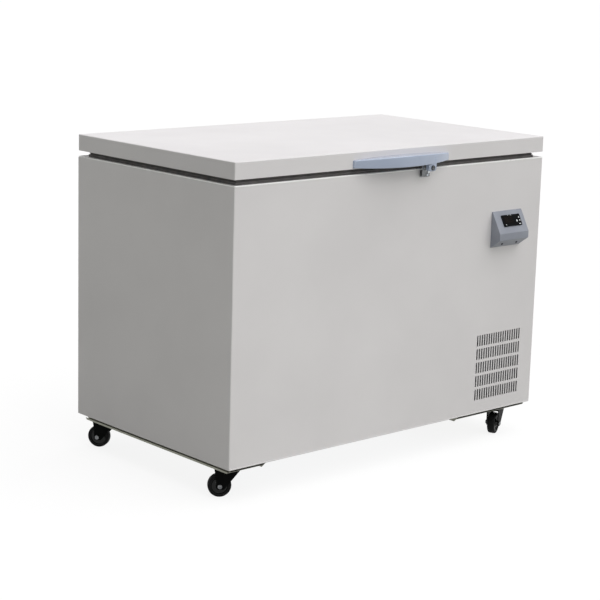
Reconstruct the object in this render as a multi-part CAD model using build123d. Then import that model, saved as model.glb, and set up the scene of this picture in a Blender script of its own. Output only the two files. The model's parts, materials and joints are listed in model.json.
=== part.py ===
from build123d import *
import math
import os

# Ultra low temperature chest freezer on casters, in millimetres, +Z up.
# Origin: middle of the bounding box on the floor. The front faces -Y.

# Cabinet and lid
cabinet_width = 1200.0
cabinet_depth = 700.0
cabinet_height = 758.0
floor_clearance = 99.0
lid_thickness = 46.0
seal_gap = 17.0
sheet = 1.2
bend_radius = 3.0
rim_flange = 18.0
base_flange = 25.0
rear_flange = 20.0
lid_flange = 16.0

# Insulation, liner and chamber mouth
foam_wall = 100.0
foam_floor = 100.0
machine_width = 314.0
liner_sheet = 1.5
liner_corner = 22.0
liner_flange = 14.0
frame_plate = 2.5
frame_play = 0.2
collar_wall = 3.0
collar_depth = 30.0

# Lid inside and seal
panel_wall = 2.0
plug_depth = 40.0
plug_clearance = 10.0
plug_edge = 4.0
seal_inset = 20.0
seal_foot = 22.0
seal_bellows = 15.0
seal_foot_height = 8.0

# Evaporator tube round the liner
coil_tube = 8.0
coil_height = 10.0
coil_play = 0.2
coil_turns = 5
coil_pitch = 98.0
coil_gap = 24.0

# Temperature probe on the liner's rear wall
probe_radius = 3.0
probe_length = 90.0
probe_clip = 14.0
probe_below_rim = 300.0

# Air grille in the front
slot_columns = 19
slot_rows = 5
slot_pitch = 10.25
slot_width = 5.6
slot_height = 33.5
row_pitch = 41.5
grille_from_side = 156.5
grille_from_base = 40.0

# Air vents in the rear panel
vent_rows = 9
vent_width = 210.0
vent_height = 7.0
vent_pitch = 20.0
vent_from_base = 70.0

# Power cord gland in the rear panel
gland_radius = 10.0
gland_collar = 14.0
gland_bore = 4.5
gland_length = 22.0
gland_proud = 6.0
gland_from_side = 60.0
gland_from_base = 330.0

# Control housing, a hollow wedge on the front
console_width = 126.0
console_height = 108.0
console_depth = 37.0
console_lip = 3.0
console_slope = 62.0
console_strip = 20.0
console_wall = 2.5
console_edge = 2.0
console_screws = 63.0
console_from_side = 152.0
console_below_rim = 148.4

# Control module, display and keys
module_width = 79.0
module_height = 36.0
module_bezel = 2.4
module_edge = 3.0
module_body_width = 71.0
module_body_height = 29.0
module_body_depth = 55.0
module_play = 0.3
module_shift = 4.0
module_along_slope = 32.3
display_width = 39.0
display_height = 23.0
display_thick = 1.4
display_shift = -12.5
display_rise = 2.1
key_width = 9.0
key_height = 8.0
key_thick = 2.0
key_proud = 0.6
key_travel = 0.5
key_play = 0.25
key_places = {"up": (32.0, 7.3), "set": (20.4, -3.4), "down": (33.0, -3.4), "power": (29.6, -13.4)}
power_key_height = 5.0

# Handle, a bowed shell on the lid's front
handle_length = 372.0
handle_reach = 41.0
handle_end = 5.0
handle_top = 16.5
handle_bottom = 47.0
handle_end_top = 22.0
handle_end_bottom = 43.0
handle_wall = 3.0
handle_edge = 1.6

# Lock in the handle's lug, and its keeper on the cabinet
lock_x = 95.2
lock_below_top = 57.5
lug_width = 30.0
lug_drop = 10.0
lug_back = 17.0
lug_front = 30.5
barrel_radius = 7.0
barrel_front = 33.2
plug_radius = 4.6
plug_front = 33.8
stub_radius = 3.0
running_play = 0.05
cam_thick = 2.0
cam_reach = 16.5
cam_half = 4.0
cam_gap = 1.5
keeper_sheet = 2.0
keeper_width = 38.0
keeper_height = 20.0
keeper_left = -20.5
keeper_drop = 8.5
tongue_width = 8.0
tongue_foot = 16.0
hook_reach = 16.0
hook_height = 6.5
hook_gap = 1.0
keeper_screws_x = (11.0, 29.5)
keeper_screws_drop = 15.0

# Hinges at the back
hinge_from_side = 200.0
hinge_width = 60.0
hinge_plate = 3.0
hinge_offset = 12.0
hinge_drop = 120.0
knuckle_radius = 8.0
hinge_pin_radius = 4.0
ear_thick = 4.0
knuckle_half = 17.6
ear_gap = 0.4
housing_half = 17.0
housing_depth = 15.0
housing_from_rim = 22.0

# Caster rail and machine base under the cabinet
rail_sheet = 2.0
rail_depth = 12.0
rail_width = 131.0
rail_lip = 5.5
rail_recess = 8.0
rail_drop = 7.0
rail_front_inset = 2.0
rail_rear_inset = 48.0
rail_side_inset = 2.0
base_side_inset = 15.0

# Casters
wheel_diameter = 65.0
wheel_width = 23.0
hub_radius = 24.5
hub_boss = 8.0
hub_boss_half = 16.5
dish_depth = 4.5
trail = 29.0
caster_inset_side = 58.0
caster_inset_front = 67.0
caster_inset_rear = 70.0
plate_length = 76.0
plate_width = 62.0
plate_thick = 3.0
king_radius = 6.0
king_head = 10.0
king_head_thick = 2.6
crown_radius = 28.0
crown_thick = 3.0
crown_corner = 8.0
swivel_gap = 0.3
fork_sheet = 2.5
fork_gap = 0.3
fork_shoulder = 4.0
fork_lead = 27.0
fork_flare = 4.0
fork_rear = 10.0
fork_toe = 11.0
fork_low = 9.0
fork_round = 7.0
axle_radius = 4.0
axle_cap = 7.5
axle_cap_thick = 5.0
axle_nut = 6.5
axle_nut_thick = 5.0
trail_angles = {"front_left": 146.0, "front_right": 206.0, "rear_left": 124.4, "rear_right": 165.0}

# Machine compartment
condenser_width = 230.0
condenser_height = 250.0
condenser_depth = 50.0
condenser_from_front = 28.0
condenser_from_base = 13.0
condenser_from_side = 158.0
fin_pitch = 10.0
fin_thick = 1.2
core_depth = 16.0
end_plate = 2.0
fan_radius = 96.0
shroud_radius = 102.0
shroud_wall = 2.0
shroud_depth = 34.0
shroud_bar = 10.0
shroud_bar_gap = 8.0
fan_hub_radius = 26.0
fan_hub_length = 18.0
fan_blades = 5
fan_pitch_angle = 28.0
fan_blade_width = 48.0
fan_blade_thick = 2.0
fan_gap = 8.0
motor_radius = 40.0
motor_length = 46.0
motor_shaft_radius = 3.0
compressor_radius = 95.0
compressor_height = 225.0
compressor_dome = 38.0
compressor_from_back = 165.0
foot_length = 210.0
foot_width = 150.0
foot_thick = 4.0
grommet_radius = 12.0
grommet_height = 16.0
terminal_width = 60.0
terminal_height = 66.0
terminal_depth = 28.0
drier_radius = 14.0
drier_length = 120.0
drier_neck = 5.0
drier_neck_length = 10.0
drier_above_base = 90.0
pipe_play = 0.3
discharge_radius = 4.0
suction_radius = 5.0
liquid_radius = 3.0
liquid_rise = 24.0
electrical_width = 70.0
electrical_length = 160.0
electrical_height = 150.0
electrical_from_front = 90.0
electrical_below_rim = 90.0

# Fasteners
hex_head = 5.0
hex_head_height = 3.2
pan_head = 4.0
pan_head_height = 2.0

# Places that follow from the sizes
half_width = cabinet_width / 2
hinge_reach = hinge_offset + knuckle_radius
front = -cabinet_depth / 2 + (handle_reach - hinge_reach) / 2
back = front + cabinet_depth
base = floor_clearance
rim = base + cabinet_height
lid_bottom = rim + seal_gap
top = lid_bottom + lid_thickness
deck = rim - sheet - frame_plate
partition_face = half_width - sheet - machine_width
foam_right = partition_face - sheet
chamber_left = -half_width + sheet + foam_wall + liner_sheet
chamber_right = foam_right - foam_wall - liner_sheet
chamber_front = front + sheet + foam_wall + liner_sheet
chamber_back = back - sheet - foam_wall - liner_sheet
chamber_floor = base + sheet + sheet + foam_floor + liner_sheet
console_x = half_width - console_from_side
console_top = rim - console_below_rim
lock_z = top - lock_below_top
handle_radius = ((handle_length / 2) ** 2 + (handle_reach - handle_end) ** 2) / (2 * (handle_reach - handle_end))
hinge_y = back + hinge_offset
hinge_z = rim + seal_gap / 2
plate_top = base - rail_depth
axle_z = wheel_diameter / 2
crown_top = plate_top - plate_thick - swivel_gap
fork_inside = hub_boss_half + fork_gap
rail_left = -half_width + rail_side_inset
rail_right = rail_left + rail_width
base_left = partition_face + rail_side_inset
base_right = half_width - base_side_inset
tray_floor = base - rail_depth + rail_sheet
condenser_x = half_width - condenser_from_side
condenser_front = front + condenser_from_front
condenser_back = condenser_front + condenser_depth
condenser_bottom = base + condenser_from_base
condenser_top = condenser_bottom + condenser_height
fan_z = condenser_bottom + condenser_height / 2
compressor_y = back - compressor_from_back
can_bottom = tray_floor + grommet_height + foot_thick
hinge_places = {"left": hinge_from_side - half_width, "right": half_width - hinge_from_side}
caster_left = rail_left + caster_inset_side
caster_right = base_right - caster_inset_side
caster_places = {
    "front_left": (caster_left, front + caster_inset_front),
    "front_right": (caster_right, front + caster_inset_front),
    "rear_left": (caster_left, back - caster_inset_rear),
    "rear_right": (caster_right, back - caster_inset_rear),
}


def block(x, y, z):
    """A box between two values on each axis."""
    corner = Pos(min(x), min(y), min(z))
    return corner * Box(max(x) - min(x), max(y) - min(y), max(z) - min(z), align=(Align.MIN,) * 3)


def rod(start, direction, radius, length):
    """A round bar from a start point along a direction."""
    return Plane(origin=start, z_dir=direction) * Cylinder(
        radius, length, align=(Align.CENTER, Align.CENTER, Align.MIN)
    )


def hexagon_head(place, direction):
    """A hexagon screw head that stands on a surface."""
    return extrude(Plane(origin=place, z_dir=direction) * RegularPolygon(hex_head, 6), hex_head_height)


def pan_head_screw(place, direction):
    """A round screw head that stands on a surface."""
    return rod(place, direction, pan_head, pan_head_height)


def tub(play, low, high):
    """The chamber's outline grown by a play all round, between two heights."""
    body = block(
        (chamber_left - play, chamber_right + play),
        (chamber_front - play, chamber_back + play),
        (low, high),
    )
    return fillet(body.edges().filter_by(Axis.Z), liner_corner + play)


def ring(inset_outer, inset_inner, low, high):
    """A rectangular frame, both edges set in from the cabinet's outline."""
    outer = block(
        (-half_width + inset_outer, half_width - inset_outer),
        (front + inset_outer, back - inset_outer),
        (low, high),
    )
    inner = block(
        (-half_width + inset_inner, half_width - inset_inner),
        (front + inset_inner, back - inset_inner),
        (low, high),
    )
    return outer - inner


# Cabinet


def folded_case(inset, low, high):
    """The cabinet's outer form, or its inside when inset by the sheet: front corners and top edge rolled."""
    body = block(
        (-half_width + inset, half_width - inset),
        (front + inset, back),
        (low, high),
    )
    radius = bend_radius - inset
    corners = body.edges().filter_by(Axis.Z).sort_by(Axis.Y)[:2]
    top_edges = body.faces().sort_by(Axis.Z)[-1].edges().sort_by(Axis.Y)[:-1]
    return fillet(corners + top_edges, radius)


def module_plane():
    """The plane of the slanted face, at the middle of the control module, facing out."""
    slope_length = math.hypot(console_slope, console_depth - console_lip)
    share = module_along_slope / slope_length
    out = console_lip + (console_depth - console_lip) * share
    height = console_top - console_slope * share
    normal = (0, -console_slope / slope_length, (console_depth - console_lip) / slope_length)
    return Plane(origin=(console_x + module_shift, front - out, height), x_dir=(1, 0, 0), z_dir=normal)


def module_body(play):
    """The part of the control module behind its bezel, grown by a play all round."""
    return module_plane() * (
        Pos(0, 0, play)
        * Box(
            module_body_width + 2 * play,
            module_body_height + 2 * play,
            module_body_depth + 2 * play,
            align=(Align.CENTER, Align.CENTER, Align.MAX),
        )
    )


def grille_slots():
    """Five rows of narrow upright slots."""
    centre = half_width - grille_from_side
    slots = []
    for row in range(slot_rows):
        low = base + grille_from_base + row * row_pitch
        for column in range(slot_columns):
            x = centre + (column - (slot_columns - 1) / 2) * slot_pitch
            slots.append(
                block(
                    (x - slot_width / 2, x + slot_width / 2),
                    (front - sheet, front + 2 * sheet),
                    (low, low + slot_height),
                )
            )
    return slots


def shell_rear_flanges():
    """The returns at the back of both sides, which the rear panel is screwed to."""
    return [
        block(
            (side * (half_width - sheet), side * (half_width - sheet - rear_flange)),
            (back - 2 * sheet, back - sheet),
            (base, rim - sheet),
        )
        for side in (-1, 1)
    ]


def cabinet_shell():
    """Front and both sides, folded from one sheet, with flanges at the rim, base and back."""
    shell = folded_case(0, base, rim) - folded_case(sheet, base + sheet, rim - sheet)
    shell -= block(
        (-half_width + rim_flange, half_width - rim_flange),
        (front + rim_flange, back),
        (rim - 2 * sheet, rim + sheet),
    )
    shell -= block(
        (-half_width + base_flange, half_width - base_flange),
        (front + base_flange, back),
        (base - sheet, base + 2 * sheet),
    )
    for flange in shell_rear_flanges():
        shell += flange
    shell -= module_body(console_wall)
    return shell - grille_slots()


def gland_place():
    """Where the power cord comes in through the rear panel."""
    return (half_width - gland_from_side, back, base + gland_from_base)


def rear_panel():
    """Flat back with a top return, air vents and the cord gland's hole."""
    panel = block(
        (-half_width + sheet, half_width - sheet),
        (back - sheet, back),
        (base + sheet, rim - sheet),
    ) & folded_case(sheet, base, rim - sheet)
    panel += block(
        (-half_width + rim_flange, half_width - rim_flange),
        (back - rim_flange, back),
        (rim - sheet, rim),
    )
    for row in range(vent_rows):
        low = base + vent_from_base + row * vent_pitch
        panel -= block(
            (condenser_x - vent_width / 2, condenser_x + vent_width / 2),
            (back - 2 * sheet, back + sheet),
            (low, low + vent_height),
        )
    x, y, z = gland_place()
    return panel - rod((x, y + sheet, z), (0, -1, 0), gland_radius, 3 * sheet)


def bottom_panel():
    """Closes the foam from below and rests on the shell's base flange."""
    return block(
        (-half_width + sheet, partition_face),
        (front + sheet, back - 2 * sheet),
        (base + sheet, base + 2 * sheet),
    ) & folded_case(sheet, base, rim)


def partition_panel():
    """The sheet between the foam and the machine compartment."""
    return block(
        (foam_right, partition_face),
        (front + sheet, back - sheet),
        (base + 2 * sheet, deck),
    )


def top_frame():
    """Deck under the seal, stepped under the shell's rim, with a collar down into the liner."""
    lower = block(
        (-half_width + sheet + bend_radius, half_width - sheet - bend_radius),
        (front + sheet + bend_radius, back - 2 * sheet),
        (deck, rim - sheet),
    )
    upper = block(
        (-half_width + rim_flange + frame_play, half_width - rim_flange - frame_play),
        (front + rim_flange + frame_play, back - rim_flange - frame_play),
        (rim - sheet, rim),
    )
    collar = tub(0, deck - collar_depth, rim)
    return lower + upper + collar - tub(-collar_wall, deck - 2 * collar_depth, rim + sheet)


def inner_liner():
    """The chamber's metal tub with a flange under the top frame."""
    body = tub(liner_sheet, chamber_floor - liner_sheet, deck)
    body += block(
        (chamber_left - liner_flange, chamber_right + liner_flange),
        (chamber_front - liner_flange, chamber_back + liner_flange),
        (deck - liner_sheet, deck),
    )
    return body - tub(0, chamber_floor, deck + sheet)


def coil_low():
    """Height of the lowest turn of the evaporator tube."""
    return chamber_floor + coil_height


def foam_insulation():
    """Foam round the liner, recessed for the evaporator tube."""
    foam = folded_case(sheet, base, rim) & block(
        (-half_width, foam_right),
        (front, back - sheet),
        (base + 2 * sheet, deck),
    )
    for flange in shell_rear_flanges():
        foam -= flange
    foam -= tub(liner_sheet, chamber_floor - liner_sheet, rim)
    high = coil_low() + (coil_turns - 1) * coil_pitch + coil_height
    foam -= tub(liner_sheet + coil_tube + 2 * coil_play, coil_low(), high)
    foam -= block(
        (chamber_left - liner_flange, chamber_right + liner_flange),
        (chamber_front - liner_flange, chamber_back + liner_flange),
        (deck - liner_sheet, deck),
    )
    return foam


def evaporator_coil():
    """One flattened tube that runs round the liner, each turn back the way the last came."""
    inner = liner_sheet + coil_play
    outer = inner + coil_tube
    coil = None
    gap_x = (chamber_right, chamber_right + 2 * outer)
    for turn in range(coil_turns):
        low = coil_low() + turn * coil_pitch
        loop = tub(outer, low, low + coil_height) - tub(inner, low, low + coil_height)
        loop -= block(gap_x, (-coil_gap / 2, coil_gap / 2), (low, low + coil_height))
        coil = loop if coil is None else coil + loop
        if turn < coil_turns - 1:
            side = -1 if turn % 2 else 1
            link_y = (side * coil_gap / 2, side * (coil_gap / 2 + coil_height))
            coil += block(
                (chamber_right + inner, chamber_right + outer),
                link_y,
                (low, low + coil_pitch + coil_height),
            )
    return coil


def temperature_probe():
    """A sheathed probe held by a clip on the liner's rear wall."""
    middle = (chamber_left + chamber_right) / 2
    z = rim - probe_below_rim
    y = chamber_back - 2 * probe_radius
    stem = rod((middle - probe_length / 2, y, z), (1, 0, 0), probe_radius, probe_length)
    clip = block(
        (middle - probe_clip / 2, middle + probe_clip / 2),
        (y - probe_radius, chamber_back),
        (z - 2 * probe_radius, z + 2 * probe_radius),
    )
    return stem + clip


# Under the cabinet


def bevel_ends(body, left, right):
    """Cuts both ends of a base channel at 45 degrees."""
    deep = rail_depth + rail_drop
    for y, sign in ((front + rail_front_inset, 1), (back - rail_rear_inset + deep, -1)):
        wedge = Polyline(
            (y, base), (y + sign * 2 * deep, base - 2 * deep), (y - sign * 2 * deep, base - 2 * deep),
            (y - sign * 2 * deep, base), (y, base),
        )
        cutter = extrude(Plane.YZ.offset(left) * make_face(wedge), right - left)
        body -= cutter
    return body


def base_channel(outside, inside):
    """Folded channel open to the cabinet: lip on its outer side, a deeper bevelled flange inside."""
    toward = 1 if inside > outside else -1
    y = (front + rail_front_inset, back)
    floor = base - rail_depth
    wall = outside + toward * rail_recess
    body = block((outside, inside), y, (floor, floor + rail_sheet))
    body += block((outside, outside + toward * rail_sheet), y, (floor, floor + rail_lip))
    body += block((wall, wall + toward * rail_sheet), y, (floor, base))
    body += block((inside - toward * rail_sheet, inside), y, (floor - rail_drop, base))
    low, high = min(outside, inside), max(outside, inside)
    return bevel_ends(body, low, high)


def caster_rail():
    return base_channel(rail_left, rail_right)


def machine_base():
    return base_channel(base_right, base_left)


def caster_plates():
    """Top plates with their king pins, bolted under the base channels."""
    plates = []
    for x, y in caster_places.values():
        plate = block(
            (x - plate_width / 2, x + plate_width / 2),
            (y - plate_length / 2, y + plate_length / 2),
            (plate_top - plate_thick, plate_top),
        )
        stem_length = plate_thick + swivel_gap + crown_thick + swivel_gap
        plate += rod((x, y, plate_top), (0, 0, -1), king_radius, stem_length)
        plate += rod((x, y, plate_top - stem_length), (0, 0, -1), king_head, king_head_thick)
        plates.append(plate)
    return Compound(children=plates)


def caster_bolts():
    """Four hexagon heads under each top plate."""
    bolts = []
    for x, y in caster_places.values():
        for sx in (-1, 1):
            for sy in (-1, 1):
                place = (
                    x + sx * (plate_width / 2 - hex_head - sheet),
                    y + sy * (plate_length / 2 - hex_head - sheet),
                    plate_top - plate_thick,
                )
                bolts.append(hexagon_head(place, (0, 0, -1)))
    return Compound(children=bolts)


def caster_frame(name):
    """Where a caster stands: x along its trail, z up, origin on the floor under the king pin."""
    x, y = caster_places[name]
    return Pos(x, y, 0) * Rot(0, 0, trail_angles[name])


def caster_fork(name):
    """Pressed fork: a flat crown and two legs, upright behind and slanted in front, round at the axle."""
    outside = fork_inside + fork_sheet
    crown = block(
        (-crown_radius, crown_radius), (-outside, outside), (crown_top - crown_thick, crown_top)
    )
    crown = chamfer(crown.edges().filter_by(Axis.Z), crown_corner)
    flat = crown_radius - crown_corner
    shoulder = crown_top - fork_shoulder
    heel = trail + fork_rear
    low = axle_z - fork_low
    outline = Polyline(
        (-flat, crown_top), (flat, crown_top), (crown_radius, shoulder), (heel + fork_flare, shoulder),
        (heel, axle_z + hub_radius), (heel, low), (trail - fork_toe, low), (-fork_lead, shoulder),
        (-flat, crown_top),
    )
    side = make_face(outline)
    side = fillet(side.vertices().sort_by(Axis.Y)[:2], fork_round)
    leg = extrude(Plane.XZ * side, fork_sheet)
    legs = Pos(0, -fork_inside, 0) * leg + Pos(0, outside, 0) * leg
    legs -= rod((trail, outside, axle_z), (0, -1, 0), axle_radius + running_play, 2 * outside)
    fork = crown + legs
    fork -= rod((0, 0, crown_top), (0, 0, -1), king_radius + running_play, crown_thick)
    return caster_frame(name) * fork


def caster_wheel(name):
    """Moulded wheel: plain tread, recessed hub disc and a bored boss, revolved about the axle."""
    radius = wheel_diameter / 2
    half = wheel_width / 2
    bore = axle_radius + running_play
    side = [
        (bore, hub_boss_half), (hub_boss, hub_boss_half), (hub_boss, half - dish_depth),
        (hub_radius, half - dish_depth), (hub_radius, half), (radius, half),
    ]
    outline = side + [(r, -v) for r, v in reversed(side)]
    wheel = revolve(make_face(Polyline(*outline, side[0])), Axis.Y)
    return caster_frame(name) * (Pos(trail, 0, axle_z) * wheel)


def caster_axle(name):
    """Through bolt with a raised cap on one side and a nut on the other."""
    outside = fork_inside + fork_sheet
    profile = Polyline(
        (0, outside + axle_cap_thick), (axle_cap, outside + axle_cap_thick), (axle_cap, outside),
        (axle_radius, outside), (axle_radius, -outside), (0, -outside), (0, outside + axle_cap_thick),
    )
    bolt = Pos(trail, 0, axle_z) * revolve(make_face(profile), Axis.Y)
    nut_plane = Plane(origin=(trail, -outside, axle_z), z_dir=(0, -1, 0))
    nut = extrude(nut_plane * RegularPolygon(axle_nut, 6), axle_nut_thick)
    return caster_frame(name) * (bolt + nut)


# Machine compartment


def condenser():
    """Finned coil between two end plates that stand on the machine base."""
    left = condenser_x - condenser_width / 2
    right = condenser_x + condenser_width / 2
    middle = (condenser_front + condenser_back) / 2
    body = block(
        (left, right),
        (middle - core_depth / 2, middle + core_depth / 2),
        (condenser_bottom, condenser_top),
    )
    fins = []
    for number in range(1, int(condenser_width / fin_pitch)):
        x = left + number * fin_pitch
        fins.append(
            block(
                (x - fin_thick / 2, x + fin_thick / 2),
                (condenser_front, condenser_back),
                (condenser_bottom, condenser_top),
            )
        )
    body += fins
    for x in ((left, left + end_plate), (right - end_plate, right)):
        body += block(x, (condenser_front, condenser_back), (tray_floor, condenser_top))
    return body


def fan_shroud():
    """Plate behind the condenser with a round duct, and two bars that carry the motor."""
    left = condenser_x - condenser_width / 2
    right = condenser_x + condenser_width / 2
    centre = (condenser_x, condenser_back, fan_z)
    plate = block((left, right), (condenser_back, condenser_back + end_plate), (tray_floor, condenser_top))
    duct = rod(centre, (0, 1, 0), shroud_radius + shroud_wall, shroud_depth)
    bore = rod(centre, (0, 1, 0), shroud_radius, shroud_depth)
    bars = []
    for side in (-1, 1):
        z = fan_z + side * shroud_bar_gap
        bars.append(
            block(
                (condenser_x - shroud_radius, condenser_x + shroud_radius),
                (condenser_back + shroud_depth - shroud_wall, condenser_back + shroud_depth),
                (z, z + side * shroud_bar),
            )
        )
    return plate + duct - bore + bars


def fan_motor():
    """Round motor on the shroud's bars, with its shaft forward between them."""
    y = condenser_back + shroud_depth
    can = rod((condenser_x, y, fan_z), (0, 1, 0), motor_radius, motor_length)
    shaft_length = shroud_depth - fan_gap - fan_hub_length / 2
    return can + rod((condenser_x, y, fan_z), (0, -1, 0), motor_shaft_radius, shaft_length)


def fan_blade():
    """Hub and pitched blades, trimmed to the duct."""
    y = condenser_back + fan_gap
    hub = rod((condenser_x, y, fan_z), (0, 1, 0), fan_hub_radius, fan_hub_length)
    hub -= rod(
        (condenser_x, y + fan_hub_length / 2 - sheet, fan_z), (0, 1, 0),
        motor_shaft_radius + running_play, fan_hub_length,
    )
    span = fan_radius - fan_hub_radius / 2
    blades = []
    for number in range(fan_blades):
        blade = Pos(fan_hub_radius / 2 + span / 2, 0, 0) * Rot(fan_pitch_angle, 0, 0) * Box(
            span, fan_blade_thick, fan_blade_width
        )
        turn = Rot(0, number * 360 / fan_blades, 0)
        blades.append(Pos(condenser_x, y + fan_hub_length / 2, fan_z) * turn * blade)
    trim = rod(
        (condenser_x, condenser_back - condenser_depth, fan_z), (0, 1, 0), fan_radius, 3 * condenser_depth
    )
    clear = rod((condenser_x, y - condenser_depth, fan_z), (0, 1, 0), fan_hub_radius / 2, 3 * condenser_depth)
    ring_of_blades = [(blade & trim) - clear for blade in blades]
    return hub + ring_of_blades


def compressor():
    """Welded steel can with domed ends on a foot plate."""
    shoulder = compressor_radius - compressor_dome
    high = compressor_height
    profile = Polyline(
        (0, 0), (shoulder, 0), (compressor_radius, compressor_dome),
        (compressor_radius, high - compressor_dome), (shoulder, high), (0, high), (0, 0),
    )
    can = Pos(condenser_x, compressor_y, can_bottom) * revolve(Plane.XZ * make_face(profile), Axis.Z)
    foot = block(
        (condenser_x - foot_width / 2, condenser_x + foot_width / 2),
        (compressor_y - foot_length / 2, compressor_y + foot_length / 2),
        (can_bottom - foot_thick, can_bottom),
    )
    return can + foot


def compressor_grommets():
    """Rubber feet under the foot plate's corners."""
    feet = []
    for sx in (-1, 1):
        for sy in (-1, 1):
            x = condenser_x + sx * (foot_width / 2 - grommet_radius)
            y = compressor_y + sy * (foot_length / 2 - grommet_radius)
            feet.append(rod((x, y, tray_floor), (0, 0, 1), grommet_radius, grommet_height))
    return Compound(children=feet)


def terminal_cover():
    """Box over the compressor's terminals, on its front side."""
    middle = can_bottom + compressor_height / 2
    cover = block(
        (condenser_x - terminal_width / 2, condenser_x + terminal_width / 2),
        (compressor_y - compressor_radius - terminal_depth, compressor_y - compressor_radius / 2),
        (middle - terminal_height / 2, middle + terminal_height / 2),
    )
    return cover - Pos(condenser_x, compressor_y, middle) * Cylinder(
        compressor_radius + pipe_play, 2 * terminal_height
    )


def drier_place():
    """Bottom end of the filter drier, beside the partition."""
    x = partition_face + drier_radius + pipe_play
    y = (condenser_front + condenser_back) / 2
    return x, y, base + drier_above_base


def filter_drier():
    """Copper drum with a neck at each end."""
    x, y, z = drier_place()
    drum = rod((x, y, z + drier_neck_length), (0, 0, 1), drier_radius, drier_length - 2 * drier_neck_length)
    return drum + rod((x, y, z), (0, 0, 1), drier_neck, drier_length)


def pipe(points, radius):
    """A round tube along straight runs, mitred where they meet."""
    path = Polyline(*points)
    start = path ^ 0
    return sweep(start * Circle(radius), path=path, transition=Transition.RIGHT)


def refrigerant_pipes():
    """Discharge line to the condenser, suction line to the partition, liquid line through the drier."""
    z = can_bottom + compressor_height / 2
    edge = condenser_x + compressor_radius + pipe_play
    outer = half_width - sheet - pipe_play - 2 * discharge_radius
    coil_right = condenser_x + condenser_width / 2
    coil_left = condenser_x - condenser_width / 2
    coil_y = (condenser_front + condenser_back) / 2
    x, y, drier_z = drier_place()
    discharge = pipe(
        [(edge, compressor_y, z), (outer, compressor_y, z), (outer, coil_y, z), (coil_right, coil_y, z)],
        discharge_radius,
    )
    suction = pipe(
        [(condenser_x - compressor_radius - pipe_play, compressor_y, z), (partition_face, compressor_y, z)],
        suction_radius,
    )
    low = condenser_bottom + liquid_rise
    liquid = pipe([(coil_left, coil_y, low), (x, y, low), (x, y, drier_z)], liquid_radius)
    above = drier_z + drier_length
    high = above + liquid_rise
    capillary = pipe([(x, y, above), (x, y, high), (partition_face, y, high)], liquid_radius)
    return Compound(children=[discharge, suction, liquid, capillary])


def electrical_box():
    """Relay and wiring box on the partition, with a sloped edge on its cover."""
    high = rim - electrical_below_rim
    body = block(
        (partition_face, partition_face + electrical_width),
        (front + electrical_from_front, front + electrical_from_front + electrical_length),
        (high - electrical_height, high),
    )
    cover_edges = body.faces().sort_by(Axis.X)[-1].edges()
    return chamfer(cover_edges, bend_radius)


def cord_gland():
    """Flanged bush for the power cord."""
    x, y, z = gland_place()
    body = rod((x, y + gland_proud, z), (0, -1, 0), gland_radius, gland_length)
    collar = Plane(origin=(x, y, z), z_dir=(0, 1, 0))
    body += extrude(collar * RegularPolygon(gland_collar, 6), gland_proud)
    return body - rod((x, y + 2 * gland_proud, z), (0, -1, 0), gland_bore, 2 * gland_length)


# Controls


def control_housing():
    """Moulded wedge, open at the back, with a window for the module."""
    out = [
        (front, console_top), (front - console_lip, console_top),
        (front - console_depth, console_top - console_slope),
        (front - console_depth, console_top - console_slope - console_strip),
        (front, console_top - console_height), (front, console_top),
    ]
    body = extrude(
        Plane.YZ.offset(console_x - console_width / 2) * make_face(Polyline(*out)), console_width
    )
    front_edges = body.edges().filter_by(Axis.X).sort_by(Axis.Y)[:2]
    body = fillet(front_edges, console_edge)
    housing = offset(body, -console_wall, openings=body.faces().sort_by(Axis.Y)[-1], kind=Kind.INTERSECTION)
    return housing - module_body(module_play)


def key_size(name):
    """Width and height of a key's cap."""
    return (key_width, power_key_height if name == "power" else key_height)


def control_module():
    """Panel controller: bezel on the slope, body behind it, recess for the display, wells for the keys."""
    bezel = extrude(RectangleRounded(module_width, module_height, module_edge), module_bezel)
    body = Box(
        module_body_width, module_body_height, module_body_depth,
        align=(Align.CENTER, Align.CENTER, Align.MAX),
    )
    module = bezel + body
    module -= Pos(display_shift, display_rise, module_bezel - display_thick) * Box(
        display_width, display_height, 2 * display_thick, align=(Align.CENTER, Align.CENTER, Align.MIN)
    )
    well = key_thick - key_proud + key_travel + key_play
    for name, (x, y) in key_places.items():
        width, height = key_size(name)
        module -= Pos(x, y, module_bezel - well) * Box(
            width + 2 * key_play, height + 2 * key_play, 2 * well,
            align=(Align.CENTER, Align.CENTER, Align.MIN),
        )
    return module_plane() * module


def control_display():
    """Dark window that fills the module's recess."""
    window = Pos(display_shift, display_rise, module_bezel - display_thick) * Box(
        display_width - 2 * key_play, display_height - 2 * key_play, display_thick,
        align=(Align.CENTER, Align.CENTER, Align.MIN),
    )
    return module_plane() * window


def control_key(name):
    """A key cap that stands a little proud of the bezel."""
    width, height = key_size(name)
    x, y = key_places[name]
    cap = Box(width, height, key_thick, align=(Align.CENTER, Align.CENTER, Align.MAX))
    cap = chamfer(cap.faces().sort_by(Axis.Z)[-1].edges(), key_proud / 2)
    return module_plane() * (Pos(x, y, module_bezel + key_proud) * cap)


# Lid


def lid_block(inset, low):
    """The lid's inside, with its upright corners rounded like the skin's bends."""
    body = block(
        (-half_width + inset, half_width - inset), (front + inset, back - inset), (low, top - inset)
    )
    return fillet(body.edges().filter_by(Axis.Z), bend_radius - inset)


def lid_skin():
    """Folded pan with a return flange along its lower edge."""
    skin = lid_block(0, lid_bottom)
    skin = fillet(skin.faces().sort_by(Axis.Z)[-1].edges(), bend_radius - sheet / 2)
    skin -= lid_block(sheet, lid_bottom + sheet)
    return skin - block(
        (-half_width + lid_flange, half_width - lid_flange),
        (front + lid_flange, back - lid_flange),
        (lid_bottom - sheet, lid_bottom + 2 * sheet),
    )


def plug_form(play, low, high):
    """The lid's plug that enters the chamber's mouth, or its inside."""
    return tub(-collar_wall - plug_clearance - play, low, high)


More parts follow.
